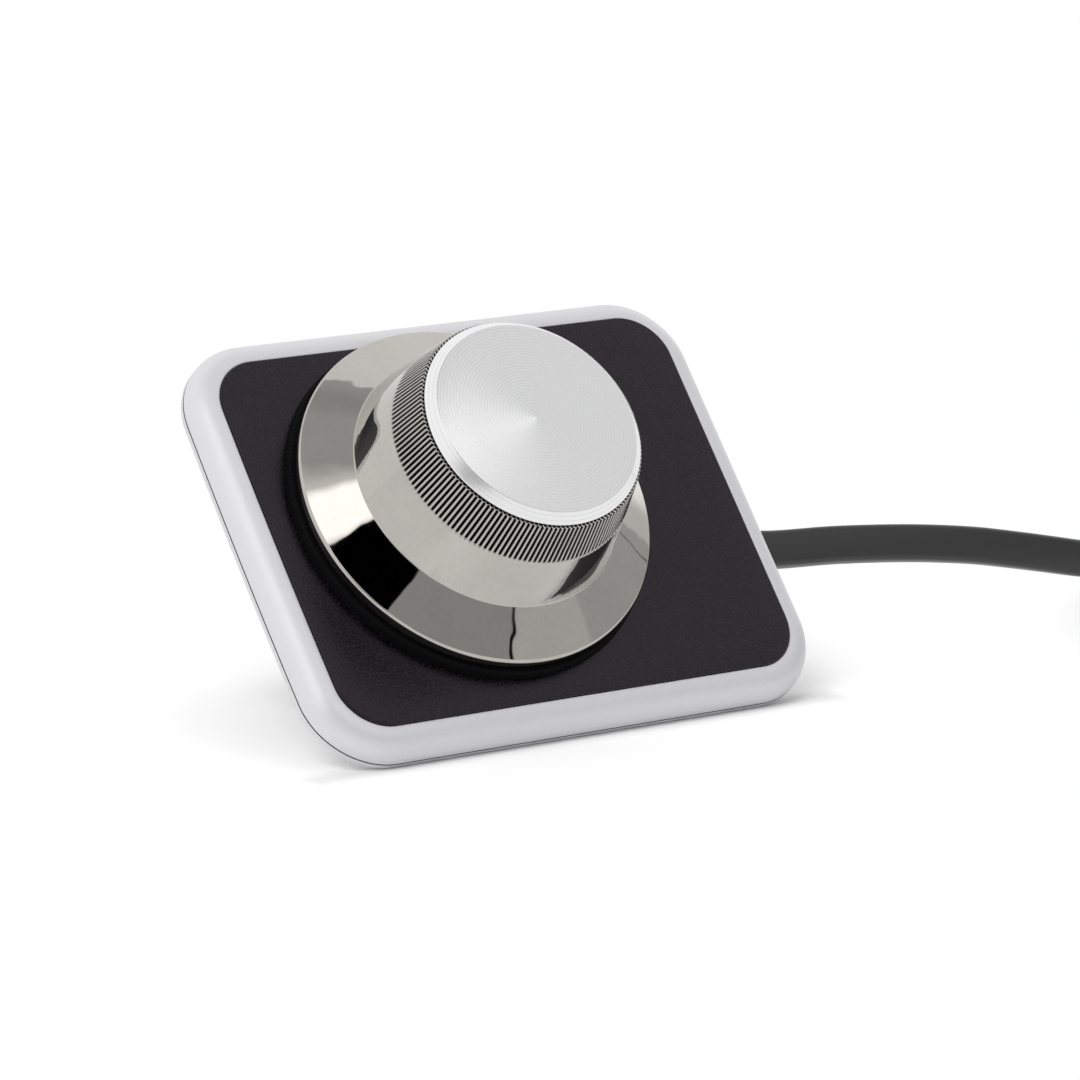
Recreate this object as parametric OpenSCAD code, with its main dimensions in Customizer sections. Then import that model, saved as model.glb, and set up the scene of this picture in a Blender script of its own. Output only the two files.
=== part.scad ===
// Remote bass control: a framed face plate with a large skirted knob, a rear housing
// with its potentiometer and modular socket, and a flat cord wound up beside it.
// It stands on the lower edge of its plate and the lower rear edge of its housing.
// Plate coordinates: X to the right, Y up the plate, Z out of the plate, zero at the
// middle of the face panel's front. stand() turns them into the standing pose.

/* [Face plate] */
// Width of the dark face panel
panel_w = 64.5; // [60:0.5:76]
// Height of the dark face panel
panel_h = 50; // [49:0.5:60]
// Corner radius of the face panel
panel_corner = 6; // [3:0.5:9]
// Thickness of the face panel
panel_t = 1.3; // [0.8:0.1:2]
// Height that the panel stands proud of its frame
panel_proud = 0.3; // [0.1:0.1:0.6]
// Flat land of the frame beside the panel
rim_flat = 0.3; // [0.1:0.1:1]
// Radius of the frame's rounded edge
rim_round = 3.15; // [2.6:0.05:5]
// Height of the shadow gap between the frame and the back plate
seam_gap = 0.2; // [0.1:0.05:0.5]
// Depth of the shadow gap
seam_inset = 0.5; // [0.2:0.1:1]
// Thickness of the back plate's rim
back_plate_t = 1.05; // [0.8:0.05:2]
// Rounding of the back plate's rear edge
back_edge = 0.45; // [0.2:0.05:0.7]
// Distance of the plate's corner screws from its edges
plate_screw_inset = 6.5; // [5.5:0.5:8]

/* [Knob] */
// Place of the knob across the panel
knob_u = -5.6; // [-8:0.1:0]
// Place of the knob up the panel
knob_v = 1.5; // [0:0.1:3]
// Radius of the skirt's sharp edge
skirt_r = 23; // [21.5:0.1:25]
// Inward lean of the skirt's lip
lip_taper = 0.15; // [0:0.05:0.4]
// Gap between the panel and the skirt's lip
lip_rise = 1.67; // [1.3:0.01:2.2]
// Height of the skirt's lip
lip_h = 1.69; // [1.2:0.01:2.4]
// Width of the sloping flange
flange_w = 5.72; // [4:0.02:6.5]
// Height of the sloping flange
flange_h = 3.28; // [2.5:0.02:4.5]
// Inward lean of the cone above the flange, over its whole height
cone_taper = 3.05; // [1.5:0.05:4]
// Height of the cone's plain lower part
cone_h = 6.96; // [5:0.02:9]
// Height of the cone's knurled upper part
grip_h = 5.85; // [4.5:0.05:8]
// Number of grip ridges
knurls = 152; // [60:4:180]
// Depth of the grooves between the ridges
knurl_depth = 0.3; // [0.15:0.05:0.45]
// Gap between the cap's neck and its recess
cap_gap = 0.1; // [0.05:0.05:0.2]
// Wall between the cap's recess and the ridges
cap_wall = 0.35; // [0.3:0.05:0.6]
// Reach of the cap's rim over the wall of its recess
cap_over = 0.27; // [0.1:0.01:0.3]
// Height of the shadow line under the cap's rim
cap_lift = 0.13; // [0.08:0.01:0.3]
// Height of the cap's rim
cap_rim_h = 0.2; // [0.1:0.05:0.8]
// Chamfer of the cap
cap_chamfer = 1.08; // [0.5:0.02:1.6]
// Depth of the cap in its recess
cap_sink = 1.4; // [1:0.1:2]
// Thickness of the seat ring under the skirt
ring_t = 1.4; // [0.8:0.05:1.6]
// Width of the seat ring
ring_w = 3; // [2:0.1:5]
// Reach of the seat ring past the skirt
ring_over = 0.5; // [0:0.1:1]

/* [Potentiometer] */
// Radius of the shaft
shaft_r = 3; // [2.5:0.05:3.2]
// Wall of the threaded bush round the shaft
bush_wall = 1; // [0.7:0.05:1.5]
// Length of the bush past its nut
bush_over = 1.4; // [0.6:0.1:3]
// Thickness of the nut
nut_t = 2; // [1.5:0.1:3]
// Width of the nut across its flats
nut_af = 11; // [10.5:0.1:12]
// Thickness of the washer
washer_t = 0.6; // [0.4:0.1:1]
// Radius of the can
can_r = 8; // [7.5:0.1:9]
// Depth of the can
can_depth = 7.2; // [6.8:0.1:8.5]
// Wall of the can
can_wall = 0.4; // [0.3:0.05:0.6]
// Thickness of the bush's mounting plate
pot_plate_t = 1.5; // [1.2:0.1:2]
// Thickness of the wafer
wafer_t = 1.5; // [1:0.1:1.8]
// Turn of the knob from stop to stop
turn_range = 300; // [270:5:310]
// Spacing of the leads
lead_pitch = 5; // [4:0.1:5.5]

/* [Housing] */
// Wall of the housing
wall = 1.6; // [1.2:0.1:2.2]
// Outer corner radius of the housing
house_corner = 2.5; // [1:0.1:3.5]
// Thickness of the rear cover
cover_t = 1.8; // [1.5:0.1:2.6]
// Rounding of the rear cover's edge
cover_edge = 0.8; // [0.3:0.1:1.2]
// Room for the leads between the can and the housing's wall
lead_room = 2.4; // [2:0.1:4]
// Room for the screw posts to the left of the can
post_room = 8.4; // [7.5:0.1:12]
// Room between the can and the socket
jack_room = 5.2; // [4:0.1:8]
// Room between the socket and the back plate
head_room = 3.1; // [2:0.1:5]
// Room behind the board for its soldered ends
solder_room = 2.9; // [2.4:0.1:4]
// Radius of the screw posts
post_r = 2.6; // [2.4:0.1:3]
// Radius of the housing screws
screw_r = 1.25; // [1:0.05:1.4]
// Spacing of the two bracket threads
mount_pitch = 22; // [20:0.5:24]
// Place of the bracket threads above the knob's axis
mount_rise = 5.5; // [4.5:0.1:6]
// Core radius of the bracket threads
mount_core_r = 1.25; // [1:0.05:1.4]
// Length of the bracket threads
mount_l = 4.2; // [3.6:0.1:4.4]

/* [Board and socket] */
// Thickness of the circuit board
board_t = 1.6; // [1:0.1:2]
// Length of the socket
jack_l = 14.4; // [13.8:0.1:16]
// Width of the socket
jack_w = 13.2; // [12.6:0.1:13.8]
// Height of the socket
jack_h = 11.4; // [11.2:0.1:12.5]
// Height of the socket's floor under the plug
jack_floor = 1.6; // [1.4:0.1:1.8]
// Depth of the socket's opening
jack_depth = 10.6; // [10:0.1:11.4]
// Length of the plug
plug_l = 14; // [13:0.1:15]
// Width of the plug
plug_w = 9.65; // [9.2:0.05:10]
// Height of the plug
plug_h = 6.6; // [6:0.05:6.8]
// Spacing of the contacts
contact_pitch = 1.02; // [0.9:0.01:1.2]

/* [Cord] */
// Width of the flat cord
cord_w = 4.8; // [4:0.1:5.2]
// Thickness of the flat cord
cord_t = 2.4; // [2:0.1:2.6]
// Layers of the coil
layers = 4; // [2:2:4]
// Loops in each of the coil's layers
loops = 7; // [5:1:8]
// Radius of the coil's outer loop
coil_r = 37.9; // [36:0.1:48]
// Room between neighbouring loops
loop_gap = 0.5; // [0.45:0.05:1]
// Thickness of the coil's ties
tie_t = 1; // [0.6:0.1:1.5]
// Width of the coil's ties
tie_w = 12; // [8:1:20]

/* [Fits] */
// Gap of a running fit
run_gap = 0.05; // [0.02:0.01:0.1]
// Gap of a seated fit
seat_gap = 0.05; // [0.02:0.01:0.1]
// Gap of a loose fit
loose_gap = 0.15; // [0.1:0.01:0.2]

/* [Hidden] */
// Smoothness of round shapes, and a reach that runs cuts clear of a face
$fn = 96;
past = 0.5;

// Face plate, front to back
rim_w = rim_flat + rim_round;
plate_w = panel_w + 2 * rim_w;
plate_h = panel_h + 2 * rim_w;
plate_corner = panel_corner + rim_w;
recess_n = -panel_t;
frame_top = -panel_proud;
frame_back = frame_top - rim_round;
rim_n = frame_back - seam_gap;
back_n = rim_n - back_plate_t;
plate_screw_r = 1;
plate_head_r = 1.9;
plate_head_h = 0.9;
tip_gap = 0.2;
plate_screw_l = back_plate_t + seam_gap + (recess_n - frame_back) - tip_gap;

// Knob, upwards from the panel
lip_z = lip_rise;
edge_z = lip_z + lip_h;
flange_z = edge_z + flange_h;
grip_z = flange_z + cone_h;
knob_z = grip_z + grip_h;
flange_r = skirt_r - flange_w;
top_r = flange_r - cone_taper;
grip_r = flange_r - cone_taper * cone_h / (cone_h + grip_h);
cone_lean = atan(cone_taper / (cone_h + grip_h));
ridge_round = 0.25;
groove_share = 0.55;
recess_r = top_r - ridge_round - cap_wall;
cap_neck_r = recess_r - cap_gap;
cap_r = recess_r + cap_over;
cap_seat_z = knob_z - cap_sink;
cap_low_z = knob_z + cap_lift;
cap_rim_z = cap_low_z + cap_rim_h;
cap_top_z = cap_rim_z + cap_chamfer;
cap_flat_r = cap_r - cap_chamfer;
spigot_r = 4;
spigot_h = 1.8;
spigot_gap = 0.1;
skirt_wall = 1.4;
flange_wall = 1.8;
roof_wall = 2.4;
ring_r = skirt_r + ring_over;
ring_lean = 0.2;

// Potentiometer, from the plate's inner face
bush_r = shaft_r + bush_wall;
washer_n = recess_n;
nut_n = washer_n + washer_t;
bush_top = nut_n + nut_t + bush_over;
pot_n = frame_back;
wafer_n = pot_n - pot_plate_t;
wafer_back = wafer_n - wafer_t;
track_t = 0.1;
wiper_gap = 0.1;
wiper_t = 0.4;
wiper_n = wafer_back - track_t - wiper_gap;
rotor_n = wiper_n - wiper_t;
rotor_t = 2;
rotor_inset = 2.2;
rotor_r = can_r - rotor_inset;
can_back = wafer_n - can_depth;
track_inset = 2.6;
track_r = can_r - track_inset;
track_w = 1.6;
shaft_over = 0.4;
shaft_end = rotor_n - rotor_t - shaft_over;
clip_gap = 0.1;
clip_n = bush_top + clip_gap;
clip_t = 0.5;
clip_w = 1.3;
clip_r = shaft_r + clip_w;
groove_r = shaft_r - clip_t;
hub_gap = 0.7;
hub_n = clip_n + clip_t + hub_gap;
hub_wall = 2;
hub_r = shaft_r + hub_wall;
boss_r = hub_r + hub_wall;
hub_roof = 1.2;
hub_top = cap_seat_z - spigot_h - hub_roof;
insert_roof = 0.6;
shaft_top = hub_top - insert_roof;
flat_x = shaft_r / 2;
flat_lift = 0.5;
flat_n = hub_n + flat_lift;
spring_t = 0.5;
spring_inset = 0.2;
inner_gap = 0.3;
stop_gap = 1;
stop_half = (360 - turn_range) / 4 - stop_gap / 2;
lead_t = 0.5;
lead_w = 0.8;
lead_out = 0.8;
lead_v = knob_v - can_r - lead_out;
lead_hole_r = 0.6;
tab_side = 1.2;
tab_half = lead_pitch + tab_side;
wiper_w = 1.6;
wiper_ring = 1.1;

// Housing, behind the plate
house_half = can_r + lead_room + wall;
house_b = knob_v - house_half;
house_t = knob_v + house_half;
house_h = 2 * house_half;
house_l = knob_u - can_r - post_room;
house_r = knob_u + can_r + jack_room + jack_l;
house_w = house_r - house_l;
house_u = (house_l + house_r) / 2;
house_depth = cover_t + solder_room + board_t + jack_h + head_room;
rear_n = back_n - house_depth;
cover_n = rear_n + cover_t;
board_back = cover_n + solder_room;
board_n = board_back + board_t;
post_bite = 0.6;
post_inset = wall + post_r - post_bite;
post_at = [
  [house_l + post_inset, house_b + post_inset],
  [house_l + post_inset, house_t - post_inset],
  [house_r - post_inset, house_t - post_inset]
];
seat_h = 1.6;
head_r = 2.2;
head_h = 1.4;
head_sink = 0.2;
ledge_t = 1.4;
ledge_w = 3;
mount_at = [for (side = [-1, 1]) [house_u + side * mount_pitch / 2, knob_v + mount_rise]];
insert_wall = 0.85;
insert_r = mount_core_r + insert_wall;
insert_boss_r = insert_r + 1.4 * insert_wall;

// Socket and plug
jack_side = 0.8;
jack_v = house_b + wall + jack_side + jack_w / 2;
jack_u = house_r - jack_l;
jack_mouth = house_r - jack_depth;
plug_n = board_n + jack_floor + seat_gap + plug_h / 2;
plug_u = jack_mouth + inner_gap;
plug_rear = plug_u + plug_l;
latch_w = 5.8;
latch_rise = 1.9;
blade_t = 0.35;
blade_h = 4;
blade_l = 2.4;
blade_lift = 0.5;
blade_in = 0.4;
slot_w = 0.55;
slot_over = 1;
wire_t = 0.3;
wire_h = 0.45;
wire_reach = 3.4;
touch_gap = 0.02;
tail_in = 1.2;
tail_u = jack_u + tail_in;
tail_drop = 1.4;
contact_hole_r = 0.45;
peg_r = 1.4;
peg_in = 7.4;
peg_u = jack_u + peg_in;
peg_pitch = 8;
contact_row = [for (i = [-1.5:1:1.5]) i * contact_pitch];

// Standing pose: the floor touches the rounded rear edges of the back plate and the cover
front_edge = [-plate_h / 2 + back_edge, back_n + back_edge];
rear_edge = [house_b + cover_edge, rear_n + cover_edge];
edge_run = rear_edge - front_edge;
slope = atan2(-edge_run[1], edge_run[0]) + asin((cover_edge - back_edge) / norm(edge_run));
lean = 90 - slope;
function stand_y(v, n) = v * cos(slope) - n * sin(slope);
function stand_z(v, n) = v * sin(slope) + n * cos(slope);
low_z = stand_z(front_edge[0], front_edge[1]) - back_edge;
near_y = min(
  stand_y(knob_v - cap_flat_r, cap_top_z),
  stand_y(knob_v - cap_r, cap_rim_z),
  stand_y(knob_v - top_r + ridge_round, knob_z)
);
far_y = stand_y(house_t - cover_edge, rear_n + cover_edge) + cover_edge;
mid_y = (near_y + far_y) / 2;
function standing(p) = [p[0], stand_y(p[1], p[2]) - mid_y, stand_z(p[1], p[2]) - low_z];
module stand() {
  translate([0, -mid_y, -low_z]) rotate([slope, 0, 0]) children();
}
module at_knob() {
  stand() translate([knob_u, knob_v, 0]) children();
}

// Cord: route of the free lead on the floor's coordinates, then its coil and its tail
cord_start = standing([plug_rear, jack_v, plug_n]);
coil_step = cord_t + loop_gap;
layer_step = cord_w + loop_gap;
coil_x = 120;
lead_y = cord_start[1];
coil_y = lead_y - coil_r;
low_layer = tie_t + cord_w / 2;
high_layer = low_layer + (layers - 1) * layer_step;
straight = 5;
// Places along the lead and the tail, each with its share of the drop from one end to the other
lead_fall = [
  [38, 0.96], [46, 0.86], [55, 0.81], [63, 0.74], [70, 0.66],
  [78, 0.54], [85, 0.40], [91, 0.27], [97, 0.14], [103, 0.05]
];
lead_route = concat(
  [cord_start, cord_start + [straight, 0, 0]],
  [for (f = lead_fall) [f[0], lead_y, low_layer + f[1] * (cord_start[2] - low_layer)]],
  [[coil_x - 2 * straight, lead_y, low_layer], [coil_x - straight, lead_y, low_layer]]
);
tail_run = 46;
far_plug_z = plug_w / 2;
tail_fall = [[14, 0.93], [19, 0.74], [24, 0.50], [29, 0.26], [34, 0.08]];
tail_route = concat(
  [[coil_x + straight, lead_y, high_layer], [coil_x + 2 * straight, lead_y, high_layer]],
  [for (f = tail_fall) [coil_x + f[0], lead_y, far_plug_z + f[1] * (high_layer - far_plug_z)]],
  [[coil_x + tail_run - straight, lead_y, far_plug_z], [coil_x + tail_run, lead_y, far_plug_z]]
);

// Plate with a rounded outline and one rounded edge, from z = 0 to t
module edge_profile(depth, t, edge) {
  intersection() {
    square([depth, t]);
    union() {
      square([depth - edge, t]);
      if (t > edge) square([depth, t - edge]);
      translate([depth - edge, t - edge]) circle(edge);
    }
  }
}
module bullnose_plate(w, h, corner, t, edge) {
  core_w = w - 2 * corner;
  core_h = h - 2 * corner;
  linear_extrude(t) square([core_w, core_h], center = true);
  for (side = [0, 180]) rotate(side) {
    translate([core_w / 2, 0, 0]) rotate([90, 0, 0])
      linear_extrude(core_h, center = true) edge_profile(corner, t, edge);
    translate([0, core_h / 2, 0]) rotate([90, 0, 90])
      linear_extrude(core_w, center = true) edge_profile(corner, t, edge);
    translate([core_w / 2, core_h / 2, 0]) rotate_extrude(angle = 90) edge_profile(corner, t, edge);
    translate([-core_w / 2, core_h / 2, 0]) rotate(90)
      rotate_extrude(angle = 90) edge_profile(corner, t, edge);
  }
}
module rounded_box(w, h, corner, t) {
  linear_extrude(t) {
    square([w - 2 * corner, h], center = true);
    square([w, h - 2 * corner], center = true);
    for (x = [-1, 1], y = [-1, 1])
      translate([x * (w / 2 - corner), y * (h / 2 - corner)]) circle(corner);
  }
}
// Crossed recess in the head of a screw, sized from the head's radius
module cross_recess(r) {
  reach = 0.6 * r;
  slot = r / 4;
  for (turn = [0, 90]) rotate(turn)
    translate([-reach, -slot / 2, -past]) cube([2 * reach, slot, past + r / 4]);
}
module plate_screw_places() {
  for (x = [-1, 1], y = [-1, 1])
    translate([x * (plate_w / 2 - plate_screw_inset), y * (plate_h / 2 - plate_screw_inset), 0]) children();
}
module post_places() {
  for (p = post_at) translate([p[0], p[1], 0]) children();
}
module mount_places() {
  for (p = mount_at) translate([p[0], p[1], 0]) children();
}

// Silver frame with a rounded rim and a recess for the panel
module face_frame() {
  color("gainsboro") stand() difference() {
    translate([0, 0, frame_back]) bullnose_plate(plate_w, plate_h, plate_corner, rim_round, rim_round);
    translate([0, 0, recess_n])
      rounded_box(panel_w + 2 * seat_gap, panel_h + 2 * seat_gap, panel_corner + seat_gap, panel_t);
    translate([knob_u, knob_v, frame_back - past]) cylinder(r = bush_r + seat_gap, h = rim_round + 2 * past);
    translate([0, 0, frame_back - past]) post_places() cylinder(r = screw_r + seat_gap, h = rim_round + past);
    translate([0, 0, frame_back - past]) plate_screw_places()
      cylinder(r = plate_screw_r + seat_gap, h = rim_round + past);
  }
}

// Dark grained panel set into the frame
panel_hole_r = nut_af / 2 / cos(30) + 1;
module face_panel() {
  color("#2b282b") stand() difference() {
    translate([0, 0, recess_n]) rounded_box(panel_w, panel_h, panel_corner, panel_t);
    translate([knob_u, knob_v, recess_n - past]) cylinder(r = panel_hole_r, h = panel_t + 2 * past);
  }
}

// Black ring that the knob's skirt turns over
module seat_ring() {
  color("black") at_knob() rotate_extrude()
    polygon([[ring_r - ring_w, 0], [ring_r, 0], [ring_r - ring_lean, ring_t], [ring_r - ring_w, ring_t]]);
}

// Back plate that closes the frame, with a shadow gap round its edge
module back_plate() {
  inset_w = plate_w - 2 * seam_inset;
  inset_h = plate_h - 2 * seam_inset;
  color("silver") stand() difference() {
    union() {
      translate([0, 0, rim_n]) rounded_box(inset_w, inset_h, plate_corner - seam_inset, seam_gap);
      translate([0, 0, rim_n]) mirror([0, 0, 1])
        bullnose_plate(plate_w, plate_h, plate_corner, back_plate_t, back_edge);
    }
    translate([knob_u, knob_v, back_n - past])
      cylinder(r = can_r + lead_room - inner_gap, h = back_plate_t + seam_gap + 2 * past);
    translate([0, 0, back_n - past]) post_places()
      cylinder(r = screw_r + loose_gap, h = back_plate_t + seam_gap + 2 * past);
    translate([0, 0, back_n]) plate_screw_places() {
      translate([0, 0, -past])
        cylinder(r = plate_screw_r + loose_gap, h = back_plate_t + seam_gap + 2 * past);
      rotate_extrude() polygon([
        [0, -past], [plate_head_r + loose_gap, -past], [plate_head_r + loose_gap, 0],
        [plate_screw_r + loose_gap, plate_head_h], [0, plate_head_h]
      ]);
    }
  }
}

// Countersunk screws that hold the back plate to the frame
module plate_screws() {
  color("dimgray") stand() translate([0, 0, back_n]) plate_screw_places() difference() {
    rotate_extrude() polygon([
      [0, 0], [plate_head_r, 0], [plate_screw_r, plate_head_h],
      [plate_screw_r, plate_screw_l], [0, plate_screw_l]
    ]);
    cross_recess(plate_head_r);
  }
}

// Black box behind the plate, with screw posts, board ledges and a notch for the socket
module rear_housing() {
  inner_w = house_w - 2 * wall;
  inner_h = house_h - 2 * wall;
  depth = back_n - cover_n;
  notch_w = jack_w + 2 * loose_gap;
  color("#202022") stand() difference() {
    union() {
      difference() {
        translate([house_u, knob_v, cover_n]) rounded_box(house_w, house_h, house_corner, depth);
        translate([house_u - inner_w / 2, knob_v - inner_h / 2, cover_n - past])
          cube([inner_w, inner_h, depth + 2 * past]);
      }
      translate([0, 0, cover_n + seat_h]) post_places() cylinder(r = post_r, h = depth - seat_h);
      translate([house_l + wall - past, knob_v - ledge_w / 2, board_n])
        cube([ledge_t + past, ledge_w, back_n - board_n]);
      translate([knob_u - ledge_w / 2, house_t - wall - ledge_t, board_n])
        cube([ledge_w, ledge_t + past, back_n - board_n]);
    }
    translate([house_r - wall - past, jack_v - notch_w / 2, cover_n - past])
      cube([wall + 2 * past, notch_w, board_n + jack_h + loose_gap - cover_n + past]);
    translate([0, 0, cover_n - past]) post_places() cylinder(r = screw_r + loose_gap, h = depth + 2 * past);
  }
}

// Rear cover with screw seats, thread bosses and a tongue under the socket
module rear_cover() {
  tongue_w = jack_w + loose_gap;
  tongue_t = wall - seat_gap;
  inside_w = house_w - 2 * (wall + loose_gap);
  inside_h = house_h - 2 * (wall + loose_gap);
  color("#26262a") stand() difference() {
    union() {
      translate([house_u, knob_v, cover_n]) mirror([0, 0, 1])
        bullnose_plate(house_w, house_h, house_corner, cover_t, cover_edge);
      intersection() {
        translate([0, 0, cover_n]) post_places() cylinder(r = post_r, h = seat_h - seat_gap);
        translate([house_u - inside_w / 2, knob_v - inside_h / 2, cover_n])
          cube([inside_w, inside_h, seat_h]);
      }
      translate([0, 0, cover_n]) mount_places() cylinder(r = insert_boss_r, h = solder_room - seat_gap);
      translate([house_r - tongue_t, jack_v - tongue_w / 2, cover_n])
        cube([tongue_t, tongue_w, board_n - cover_n - seat_gap]);
    }
    translate([0, 0, rear_n - past]) post_places() {
      cylinder(r = screw_r + loose_gap, h = cover_t + seat_h + 2 * past);
      cylinder(r = head_r + loose_gap, h = past + head_sink + head_h);
    }
    translate([0, 0, rear_n - past]) mount_places() cylinder(r = insert_r + seat_gap, h = mount_l + past);
  }
}

// Long screws through the cover and the posts into the frame
module housing_screws() {
  tip_n = recess_n - tip_gap;
  head_n = rear_n + head_sink;
  color("dimgray") stand() translate([0, 0, head_n]) post_places() difference() {
    union() {
      cylinder(r = head_r, h = head_h);
      cylinder(r = screw_r, h = tip_n - head_n);
    }
    cross_recess(head_r);
  }
}

// Brass threads in the cover, for a bracket
module bracket_inserts() {
  color("goldenrod") stand() translate([0, 0, rear_n]) mount_places() difference() {
    cylinder(r = insert_r, h = mount_l);
    translate([0, 0, -past]) cylinder(r = mount_core_r, h = mount_l + 2 * past);
  }
}

// Circuit board, held between the housing's ledges and the cover's bosses
module circuit_board() {
  board_w = house_w - 2 * (wall + inner_gap);
  board_h = house_h - 2 * (wall + inner_gap);
  hole_h = board_t + 2 * past;
  color("darkgreen") stand() difference() {
    translate([house_u - board_w / 2, knob_v - board_h / 2, board_back]) cube([board_w, board_h, board_t]);
    translate([0, 0, board_back - past]) {
      post_places() cylinder(r = post_r + loose_gap, h = hole_h);
      for (v = contact_row) translate([tail_u, jack_v + v, 0]) cylinder(r = contact_hole_r, h = hole_h);
      for (i = [-1:1]) translate([knob_u + i * lead_pitch, lead_v, 0]) cylinder(r = lead_hole_r, h = hole_h);
      for (side = [-1, 1]) translate([peg_u, jack_v + side * peg_pitch / 2, 0])
        cylinder(r = peg_r + seat_gap, h = hole_h);
    }
  }
}

// Socket for a modular plug, opening to the right
module modular_jack() {
  mouth_w = plug_w + 2 * seat_gap;
  slot_l = jack_mouth + wire_reach + slot_over - tail_u;
  color("#1c1c1e") stand() difference() {
    union() {
      translate([jack_u, jack_v - jack_w / 2, board_n]) cube([jack_l, jack_w, jack_h]);
      for (side = [-1, 1]) translate([peg_u, jack_v + side * peg_pitch / 2, board_back])
        cylinder(r = peg_r, h = board_t + past);
    }
    translate([jack_mouth, jack_v - mouth_w / 2, board_n + jack_floor])
      cube([jack_depth + past, mouth_w, plug_h + 2 * seat_gap]);
    translate([jack_mouth, jack_v - latch_w / 2 - loose_gap, plug_n])
      cube([jack_depth + past, latch_w + 2 * loose_gap, plug_h / 2 + latch_rise + loose_gap]);
    for (v = contact_row) translate([tail_u - slot_w / 2, jack_v + v - slot_w / 2, board_n - past])
      cube([slot_l, slot_w, past + jack_floor + blade_lift + loose_gap]);
  }
}

// Spring wires of the socket, with their soldered tails
module jack_contacts() {
  wire_n = plug_n - plug_h / 2 + blade_lift - wire_h - touch_gap;
  color("gold") stand() for (v = contact_row) {
    translate([tail_u - wire_t / 2, jack_v + v - wire_t / 2, wire_n])
      cube([plug_u + wire_reach - tail_u, wire_t, wire_h]);
    translate([tail_u - wire_t / 2, jack_v + v - wire_t / 2, board_back - tail_drop])
      cube([wire_t, wire_t, wire_n + wire_h - board_back + tail_drop]);
  }
}

// Threaded bush with its mounting plate
module pot_bushing() {
  color("silver") at_knob() difference() {
    union() {
      translate([0, 0, wafer_n]) cylinder(r = can_r, h = pot_plate_t);
      translate([0, 0, wafer_n]) cylinder(r = bush_r, h = bush_top - wafer_n);
    }
    translate([0, 0, wafer_n - past]) cylinder(r = shaft_r + run_gap, h = bush_top - wafer_n + 2 * past);
  }
}

// Sector of a ring, from r0 to r1 and half an angle to each side of the X axis
module sector(r0, r1, half, t) {
  rotate(-half) rotate_extrude(angle = 2 * half) translate([r0, 0]) square([r1 - r0, t]);
}

// Can with a slot for the leads' tab and a stop for the rotor
module pot_can() {
  inner_r = can_r - can_wall;
  slot_t = wafer_t + loose_gap;
  color("silver") at_knob() {
    difference() {
      translate([0, 0, can_back]) cylinder(r = can_r, h = can_depth);
      translate([0, 0, can_back + can_wall]) cylinder(r = inner_r, h = can_depth);
      translate([-tab_half - loose_gap, -can_r - past, wafer_n - slot_t])
        cube([2 * (tab_half + loose_gap), can_r / 2 + 2 * past, slot_t + past]);
    }
    translate([0, 0, can_back + can_wall]) rotate(-90)
      sector(rotor_r + inner_gap, inner_r + can_wall / 2, stop_half, rotor_n - can_back - can_wall);
  }
}

// Wafer that carries the track and the leads
module pot_wafer() {
  wafer_r = can_r - can_wall - seat_gap;
  tab_v = can_r + lead_out + lead_t + inner_gap;
  color("peru") at_knob() difference() {
    union() {
      translate([0, 0, wafer_back]) cylinder(r = wafer_r, h = wafer_t);
      translate([-tab_half, -tab_v, wafer_back]) cube([2 * tab_half, tab_v - can_r / 2, wafer_t]);
    }
    translate([0, 0, wafer_back - past]) cylinder(r = shaft_r + inner_gap, h = wafer_t + 2 * past);
    for (i = [-1:1]) translate([i * lead_pitch - lead_w / 2, lead_v - knob_v - lead_t / 2, wafer_back - past])
      cube([lead_w, lead_t, wafer_t / 2 + past]);
  }
}

// Resistance track on the wafer's rear face
module pot_track() {
  color("#303030") at_knob() translate([0, 0, wafer_back - track_t]) rotate(90)
    sector(track_r - track_w / 2, track_r + track_w / 2, turn_range / 2, track_t);
}

// Leads from the wafer to the board
module pot_terminals() {
  head_n = wafer_back + wafer_t / 2;
  color("lightgray") at_knob() for (i = [-1:1])
    translate([i * lead_pitch - lead_w / 2, lead_v - knob_v - lead_t / 2, board_back - tail_drop])
      cube([lead_w, lead_t, head_n - board_back + tail_drop]);
}

// Washer and nut that hold the bush in the frame
module pot_washer() {
  color("lightgray") at_knob() translate([0, 0, washer_n]) difference() {
    cylinder(r = nut_af / 2, h = washer_t);
    translate([0, 0, -past]) cylinder(r = bush_r + seat_gap, h = washer_t + 2 * past);
  }
}
module pot_nut() {
  color("silver") at_knob() translate([0, 0, nut_n]) difference() {
    cylinder(r = nut_af / 2 / cos(30), h = nut_t, $fn = 6);
    translate([0, 0, -past]) cylinder(r = bush_r + seat_gap, h = nut_t + 2 * past);
  }
}

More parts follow.
